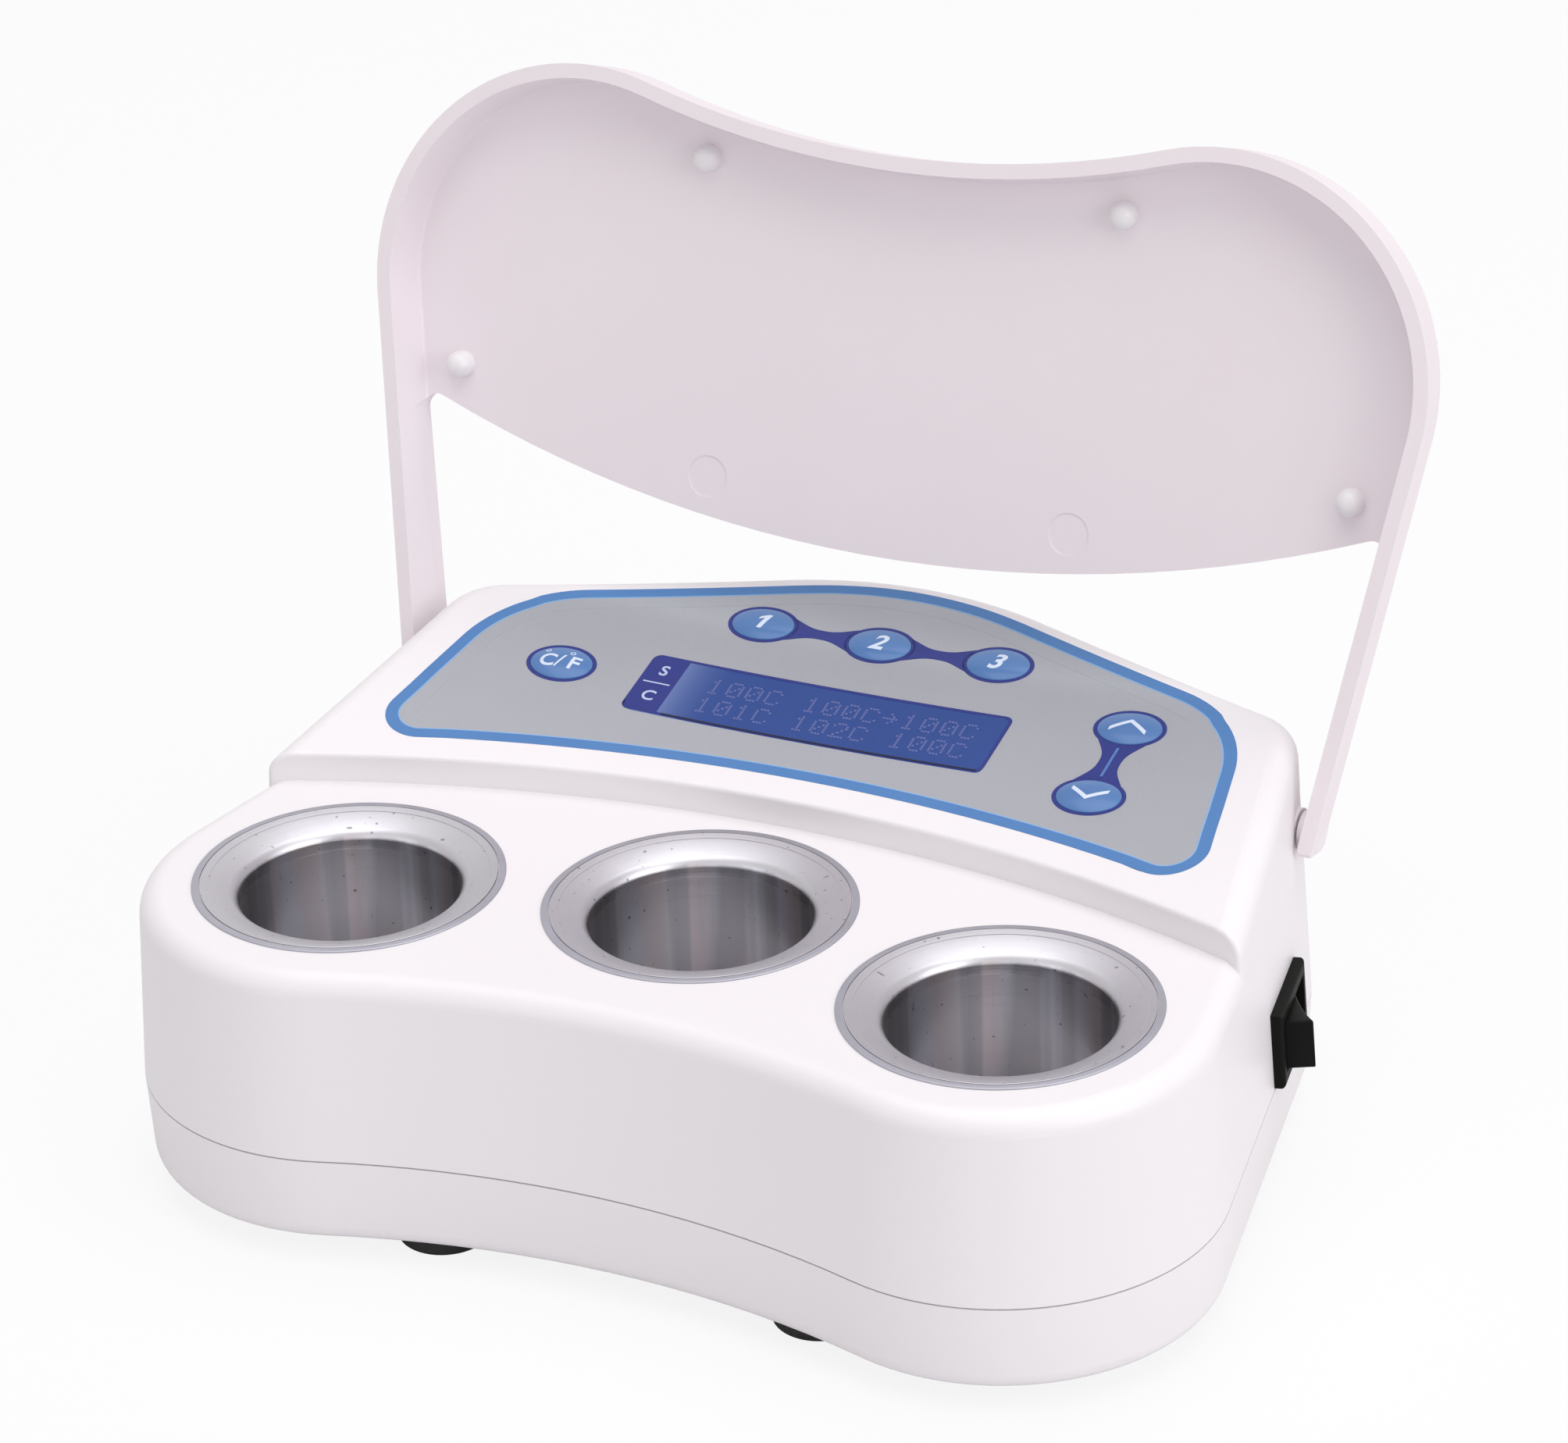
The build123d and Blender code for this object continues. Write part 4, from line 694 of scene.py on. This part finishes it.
# A near-black strip along the bottom of the frame is a painted shadow under the window's lower edge.
shadow_middle = (frame_middle[0] + sign_block / 2, -7.15 * mm)
shadow_size = (frame_size[0] - 1.3 * sign_block, 0.35 * mm)
glass_light = (0.170, 0.235, 0.480, 1.0)
glass_blue = (0.034, 0.078, 0.290, 1.0)
glass_deep = (0.026, 0.066, 0.260, 1.0)
glass_clouds = 60.0            # per metre
glass_grain = 1500.0
glass_bump = (0.03, 0.02 * mm)
glass_roughness = 0.22
glass_gloss = 0.06
glass_specular = 0.18
# Where the glass's colour starts to lighten towards its left end, and how fast.
lightening_edge = -21.5 * mm
lightening_contrast = -90.0
dot_colour = (0.125, 0.155, 0.390, 1.0)
sign_colour = (0.50, 0.58, 0.80, 1.0)
painted_shadow_colour = (0.008, 0.008, 0.022, 1.0)
sign_size = 3.7 * mm
sign_weight = 0.06 * mm
signs = {"sign_set": ("S", (-34.5 * mm, 4.1 * mm)), "sign_current": ("C", (-34.4 * mm, -3.0 * mm))}
rule_middle = (-34.5 * mm, 0.55 * mm)
rule_size = (5.2 * mm, 0.30 * mm)
dot_pitch = 0.60 * mm
dot_rise = 0.60 * mm
dot_size = 0.44 * mm
row_heights = (2.65 * mm, -2.70 * mm)
first_character = -23.7 * mm
character_pitch = 3.77 * mm
rows = ("100C 100C>100C", "101C 102C 100C")
dot_shapes = {
    "0": (".###.", "#...#", "#..##", "#.#.#", "##..#", "#...#", ".###."),
    "1": ("..#..", ".##..", "..#..", "..#..", "..#..", "..#..", ".###."),
    "2": (".###.", "#...#", "....#", "...#.", "..#..", ".#...", "#####"),
    "C": (".###.", "#...#", "#....", "#....", "#....", "#...#", ".###."),
    ">": (".....", "..#..", "...#.", "#####", "...#.", "..#..", "....."),
}

window_frame = console_frame(0.0, window_y)
glass = bpy.data.materials.new("display_glass")
glass_tree = new_tree(glass)
spot = glass_tree.node("ShaderNodeTexCoord", output="Object")
across = glass_tree.node("ShaderNodeSeparateXYZ", sockets={"Vector": spot})
# The glass's colour is lighter towards its left end.
left_end_lightening = across.rise(lightening_edge, lightening_contrast)
dull = noise(glass_tree, glass_clouds)
finish_with(
    glass, glass_tree, noise(glass_tree, glass_grain, 1.0), glass_bump,
    Base_Color=(left_end_lightening * left_end_lightening).tint(dull.tint(glass_blue, glass_deep), glass_light),
    Roughness=glass_roughness + dull * glass_gloss,
    Specular_IOR_Level=glass_specular,
)
paint("display_window", glass)


def patch(middle, size, pieces=(1, 1)):
    """Flat rectangle on the display's own plane, before it is laid on the console."""
    mesh = bmesh.new()
    bmesh.ops.create_grid(mesh, x_segments=pieces[0], y_segments=pieces[1], size=0.5)
    bmesh.ops.scale(mesh, verts=mesh.verts, vec=(size[0], size[1], 1.0))
    bmesh.ops.translate(mesh, verts=mesh.verts, vec=(middle[0], middle[1], 0))
    return mesh


def print_on_display(mesh, name, material, layers=1):
    """Lays a flat shape on the display's plane, one film or more above the console."""
    bmesh.ops.transform(mesh, verts=mesh.verts, matrix=window_frame)
    print_on_console(mesh, name, material, layers * print_lift)


edge_mesh = patch(frame_middle, frame_size)
round_corners(edge_mesh, edge_mesh.verts[:], frame_corner, 6)
pane = edge_mesh.faces[:][0]
bmesh.ops.inset_individual(edge_mesh, faces=[pane], thickness=frame_line, use_even_offset=True)
bmesh.ops.delete(edge_mesh, geom=[pane], context="FACES")
cut_fine(edge_mesh, band_pitch)
print_on_display(edge_mesh, "display_edge", ground_ink)
block_x = frame_middle[0] - frame_size[0] / 2 + sign_block / 2
block_mesh = patch((block_x, frame_middle[1]), (sign_block, frame_size[1]))
outer_corners = [vert for vert in block_mesh.verts if vert.co.x < block_x]
round_corners(block_mesh, outer_corners, frame_corner, 6)
print_on_display(block_mesh, "sign_ground", ground_ink)
# Painted shadow: a near-black strip along the window's lower edge.
painted_shadow_ink = ink("painted_shadow_ink", painted_shadow_colour, painted_shadow_colour)
print_on_display(patch(shadow_middle, shadow_size, (12, 1)), "display_painted_shadow", painted_shadow_ink, 2)

dots_mesh = bmesh.new()
for line, height in zip(rows, row_heights):
    for place, character in enumerate(line):
        for row, pattern in enumerate(dot_shapes.get(character, ())):
            for column, lit in enumerate(pattern):
                if lit == "#":
                    dot = bmesh.ops.create_grid(dots_mesh, x_segments=1, y_segments=1, size=dot_size / 2)
                    x = first_character + place * character_pitch + (column - 2) * dot_pitch
                    spot = (x, height + (3 - row) * dot_rise, 0)
                    bmesh.ops.translate(dots_mesh, verts=dot["verts"], vec=spot)
print_on_display(dots_mesh, "display_dots", ink("dot_ink", dot_colour, dot_colour, roughness=0.25))


def letters(text, size, weight=0.0, slant=0.0):
    """Flat mesh of a few characters, centred on the origin."""
    words = bpy.data.curves.new("letters", "FONT")
    words.body = text
    words.size = size
    words.offset = weight
    words.shear = slant
    words.align_x = "CENTER"
    words.align_y = "CENTER"
    holder = bpy.data.objects.new("letters", words)
    bpy.context.scene.collection.objects.link(holder)
    data = bpy.data.meshes.new_from_object(holder)
    bpy.data.objects.remove(holder)
    mesh = bmesh.new()
    mesh.from_mesh(data)
    bpy.data.meshes.remove(data)
    bmesh.ops.remove_doubles(mesh, verts=mesh.verts, dist=0.0001 * size)
    across = [vert.co.x for vert in mesh.verts]
    along = [vert.co.y for vert in mesh.verts]
    middle = Vector(((max(across) + min(across)) / 2, (max(along) + min(along)) / 2, 0))
    bmesh.ops.translate(mesh, verts=mesh.verts, vec=-middle)
    return mesh


sign_ink = ink("sign_ink", sign_colour, sign_colour)
for name, (text, place) in signs.items():
    sign_mesh = letters(text, sign_size, sign_weight)
    bmesh.ops.translate(sign_mesh, verts=sign_mesh.verts, vec=(*place, 0))
    print_on_display(sign_mesh, name, sign_ink, 2)
print_on_display(patch(rule_middle, rule_size, (4, 1)), "sign_rule", sign_ink, 2)

# ---- Keys ----------------------------------------------------------------------------------------------
# Six oval caps of glossy blue plastic, slightly domed, with their signs printed on top. Each one slides
# square to the console on the plunger of its switch.
cap_blue = (0.078, 0.200, 0.465, 1.0)
cap_shade = (0.066, 0.175, 0.430, 1.0)
cap_print = (0.70, 0.78, 0.92, 1.0)
cap_edge_rise = 0.15 * mm
cap_dome = 0.80 * mm
cap_skirt = 1.2 * mm
cap_ease = 0.12 * mm
dome_cut = 0.5
dome_reach = sqrt(1.0 - dome_cut ** 2)
sign_pitch = 0.6 * mm
sign_lift = 0.03 * mm
cap_clouds = 90.0              # per metre
cap_grain = 1400.0
cap_bump = (0.05, 0.04 * mm)
cap_gloss_spread = 0.06
sharp_angle = 0.6
figure_size = 5.5 * mm
figure_weight = 0.13 * mm
figure_slant = 0.22
one_corners = (
    (-0.10, -1.95), (0.80, -1.95), (0.80, 1.95), (0.10, 1.95), (-1.05, 1.10), (-1.05, 0.30), (-0.10, 0.90),
)
chevron_arm = 3.4 * mm
chevron_rise = 2.4 * mm
chevron_stroke = 0.95 * mm
units_letters = (
    # letter, size, weight and place, in millimetres
    ("C", 4.5, 0.09, (-2.4, -0.4)), ("/", 4.7, 0.03, (-0.1, -0.2)), ("F", 4.6, 0.10, (2.75, -0.1)),
    ("o", 2.1, 0.0, (-3.5, 2.15)), ("o", 2.1, 0.0, (1.3, 2.4)),
)

cap_gloss = bpy.data.materials.new("glossy_blue")
cap_tree = new_tree(cap_gloss)
cap_haze = noise(cap_tree, cap_clouds, 3.0)
finish_with(
    cap_gloss, cap_tree, noise(cap_tree, cap_grain), cap_bump,
    Base_Color=cap_haze.tint(cap_blue, cap_shade), Roughness=0.34 + cap_haze * cap_gloss_spread,
    Specular_IOR_Level=0.35, Coat_Weight=0.25, Coat_Roughness=0.12,
)
cap_ink = ink("cap_ink", cap_print, cap_print, roughness=0.3)


def cap_height(x, y):
    """Height of a cap's dome over its foot on the console."""
    away = hypot(x / key_length, y / key_width) * dome_reach
    return cap_edge_rise + cap_dome * (sqrt(max(0.0, 1.0 - away ** 2)) - dome_cut) / (1.0 - dome_cut)


def ease_edges(mesh, edges, width):
    """Takes the sharpness off some edges with a narrow round."""
    bmesh.ops.bevel(
        mesh, geom=edges, offset=width, offset_type="OFFSET", segments=3, profile=0.5, affect="EDGES",
        material=-1,
    )


def key_cap():
    """Oval cap: part of a ball, flattened, on a short straight skirt."""
    mesh = bmesh.new()
    bmesh.ops.create_uvsphere(mesh, u_segments=96, v_segments=72, radius=1.0)
    geom = mesh.verts[:] + mesh.edges[:] + mesh.faces[:]
    bmesh.ops.bisect_plane(
        mesh, geom=geom, dist=0.0001, plane_co=(0, 0, dome_cut), plane_no=(0, 0, 1), clear_inner=True
    )
    flat = (key_length / dome_reach, key_width / dome_reach, cap_dome / (1.0 - dome_cut))
    bmesh.ops.translate(mesh, verts=mesh.verts, vec=(0, 0, -dome_cut))
    bmesh.ops.scale(mesh, verts=mesh.verts, vec=flat)
    rim = [edge for edge in mesh.edges if len(edge.link_faces) == 1]
    skirt = bmesh.ops.extrude_edge_only(mesh, edges=rim)["geom"]
    foot = [item for item in skirt if isinstance(item, bmesh.types.BMVert)]
    bmesh.ops.translate(mesh, verts=foot, vec=(0, 0, -cap_skirt))
    open_edges = [edge for edge in mesh.edges if len(edge.link_faces) == 1]
    bmesh.ops.contextual_create(mesh, geom=open_edges)
    bmesh.ops.recalc_face_normals(mesh, faces=mesh.faces)
    sharp = [edge for edge in mesh.edges if edge.calc_face_angle(0.0) > sharp_angle]
    ease_edges(mesh, [edge for edge in sharp if edge.verts[0].co.z > -cap_ease], cap_ease)
    bmesh.ops.translate(mesh, verts=mesh.verts, vec=(0, 0, cap_edge_rise))
    return mesh


def chevron(point):
    """Open arrowhead that points up the slope, or down it."""
    mesh = bmesh.new()
    ends = [(-chevron_arm, -chevron_rise / 2), (0.0, chevron_rise / 2), (chevron_arm, -chevron_rise / 2)]
    low = [mesh.verts.new((x, point * y - chevron_stroke / 2, 0)) for x, y in ends]
    bottom = [mesh.edges.new(pair) for pair in zip(low, low[1:])]
    grown = bmesh.ops.extrude_edge_only(mesh, edges=bottom)["geom"]
    top = [item for item in grown if isinstance(item, bmesh.types.BMVert)]
    bmesh.ops.translate(mesh, verts=top, vec=(0, chevron_stroke, 0))
    return mesh


def units_sign():
    """Signs for the two temperature scales, each degree ring above its letter."""
    mesh = bmesh.new()
    for text, size, weight, place in units_letters:
        part = letters(text, size * mm, weight * mm)
        bmesh.ops.translate(part, verts=part.verts, vec=(place[0] * mm, place[1] * mm, 0))
        data = bpy.data.meshes.new("part")
        part.to_mesh(data)
        part.free()
        mesh.from_mesh(data)
        bpy.data.meshes.remove(data)
    return mesh


def figure_one():
    """The figure 1 of the same bold alphabet, with its flag."""
    mesh = bmesh.new()
    mesh.faces.new([mesh.verts.new(((x + figure_slant * y) * mm, y * mm, 0)) for x, y in one_corners])
    return mesh


cap_signs = {
    "key_one": figure_one(),
    "key_two": letters("2", figure_size, figure_weight, figure_slant),
    "key_three": letters("3", figure_size, figure_weight, figure_slant),
    "key_units": units_sign(),
    "key_up": chevron(1),
    "key_down": chevron(-1),
}
for key, sign_mesh in cap_signs.items():
    cap_mesh = key_cap()
    bmesh.ops.transform(cap_mesh, verts=cap_mesh.verts, matrix=console_frame(*key_places[key]))
    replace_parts(link_piece(cap_mesh, key.replace("key", "cap"), cap_gloss, key, 50), key)
    cut_fine(sign_mesh, sign_pitch)
    for vert in sign_mesh.verts:
        vert.co.z = cap_height(vert.co.x, vert.co.y) + sign_lift
    thicken(sign_mesh, -print_depth)
    bmesh.ops.transform(sign_mesh, verts=sign_mesh.verts, matrix=console_frame(*key_places[key]))
    link_piece(sign_mesh, key.replace("key", "sign"), cap_ink, key, 40)

# ---- Boards and transformer ----------------------------------------------------------------------------
# Inside the casing: the display's board with its metal-framed module, the key board with its six contacts,
# and on the floor the control board with relays and capacitors beside a small mains transformer.
board_green = (0.020, 0.110, 0.045, 1.0)
board_dark = (0.012, 0.075, 0.032, 1.0)
black_part = (0.020, 0.020, 0.022, 1.0)
black_part_pale = (0.040, 0.040, 0.042, 1.0)
core_grey = (0.14, 0.14, 0.145, 1.0)
core_rust = (0.20, 0.15, 0.12, 1.0)
winding_tape = (0.46, 0.26, 0.055, 1.0)
winding_dark = (0.32, 0.17, 0.035, 1.0)

green_board = moulded("green_board", board_green, board_dark, roughness=0.38, grain_bump=0.06)
for board in ("display_board", "keypad_board", "control_board"):
    paint(board, green_board)
black_plastic = moulded(
    "black_plastic", black_part, black_part_pale, roughness=0.40, grain_bump=0.16, specular=0.45
)
paint("key_contacts", black_plastic)
paint("board_components", black_plastic)
paint("display_module", zinc_steel)
paint("board_screws", zinc_steel)
paint("transformer_core", metal("core_steel", core_grey, core_rust, roughness=0.55))
tape = moulded("winding_tape", winding_tape, winding_dark, roughness=0.45, grain_bump=0.08)
paint("transformer_coil", tape)

# ---- Power switch --------------------------------------------------------------------------------------
# A black rocker switch snapped into the right side: a shallow frame with a flange on the wall, and a glossy
# rocker, hollowed along its face, that stands out at its switched-off end.
rocker_black = (0.004, 0.005, 0.004, 1.0)
rocker_pale = (0.007, 0.008, 0.007, 1.0)
frame_black = (0.006, 0.006, 0.005, 1.0)
frame_pale = (0.011, 0.011, 0.010, 1.0)
rocker_pivot = Vector((89.4533 * mm, 18.3859 * mm, 27.8335 * mm))
rocker_along = Vector((0.1736, -0.9848, 0.0))
rocker_out = Vector((0.9833, 0.1734, 0.0558))
rocker_lean = radians(12.0)
rocker_width = 9.0 * mm
rocker_bow = 6.5 * mm
rocker_ease = 0.25 * mm
rocker_corners = ((-8.0, -2.0), (8.0, -2.0), (8.0, 4.5), (1.0, 1.2), (-8.0, 1.6))  # along and out, in mm

switch_frame = moulded(
    "switch_frame", frame_black, frame_pale, roughness=0.42, grain_bump=0.16, specular=0.045
)
paint("switch_housing", switch_frame)

rocker_mesh = bmesh.new()
points = [rocker_mesh.verts.new((along * mm, out * mm, -rocker_width / 2)) for along, out in rocker_corners]
rocker_mesh.faces.new(points)
round_corners(rocker_mesh, [points[3]], rocker_bow, 14)
thicken(rocker_mesh, rocker_width)
sharp = [edge for edge in rocker_mesh.edges if edge.calc_face_angle(0.0) > sharp_angle]
ease_edges(rocker_mesh, sharp, rocker_ease)
turned = Matrix((rocker_along, rocker_out, rocker_along.cross(rocker_out))).transposed().to_4x4()
turned.translation = rocker_pivot
leant = turned @ Matrix.Rotation(rocker_lean, 4, "Z")
bmesh.ops.transform(rocker_mesh, verts=rocker_mesh.verts, matrix=leant)
rocker_gloss = moulded(
    "switch_rocker", rocker_black, rocker_pale, roughness=0.30, grain_bump=0.06, specular=0.07
)
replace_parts(link_piece(rocker_mesh, "rocker", rocker_gloss, "rocker", 50), "power_rocker")

# ---- Mains inlet ---------------------------------------------------------------------------------------
# A three-pin appliance inlet of black nylon in its pocket at the rear, with nickel-plated pins and a drawer
# for the fuse below them.
drawer_black = (0.030, 0.030, 0.032, 1.0)
drawer_pale = (0.05, 0.05, 0.052, 1.0)
nickel = (0.66, 0.63, 0.58, 1.0)
nickel_dull = (0.52, 0.50, 0.46, 1.0)
paint("power_inlet", black_plastic)
paint("fuse_drawer", moulded("drawer_plastic", drawer_black, drawer_pale, roughness=0.34, grain_bump=0.10))
paint("inlet_contacts", metal("nickel_plate", nickel, nickel_dull, roughness=0.22))

# ---- Splash cover and its hinge ------------------------------------------------------------------------
# A white moulded cover in the outline of the wells, on two arms that swing about steel pins in nylon bushes.
# Its wall is thinner than the casing's, and its white has a painted shade tint, pinker and a little darker
# than the casing's; four round bumpers inside it rest near the deck.
cover_shade_tinted = (0.893, 0.820, 0.864, 1.0)
cover_shade_tinted_warm = (0.858, 0.780, 0.815, 1.0)
bumper_colour = (0.86, 0.835, 0.85, 1.0)
nylon = (0.86, 0.83, 0.84, 1.0)
nylon_pale = (0.88, 0.855, 0.86, 1.0)
paint("splash_cover", moulded("white_cover", cover_shade_tinted, cover_shade_tinted_warm, roughness=0.36, grain_bump=0.10))
bumper = moulded("bumper_plastic", bumper_colour, bumper_colour, roughness=0.28, grain_bump=0.05)
paint("cover_bumpers", bumper)
paint("hinge_pins", zinc_steel)
paint("hinge_clips", zinc_steel)
paint("hinge_bushes", moulded("nylon", nylon, nylon_pale, roughness=0.45, grain_bump=0.08))
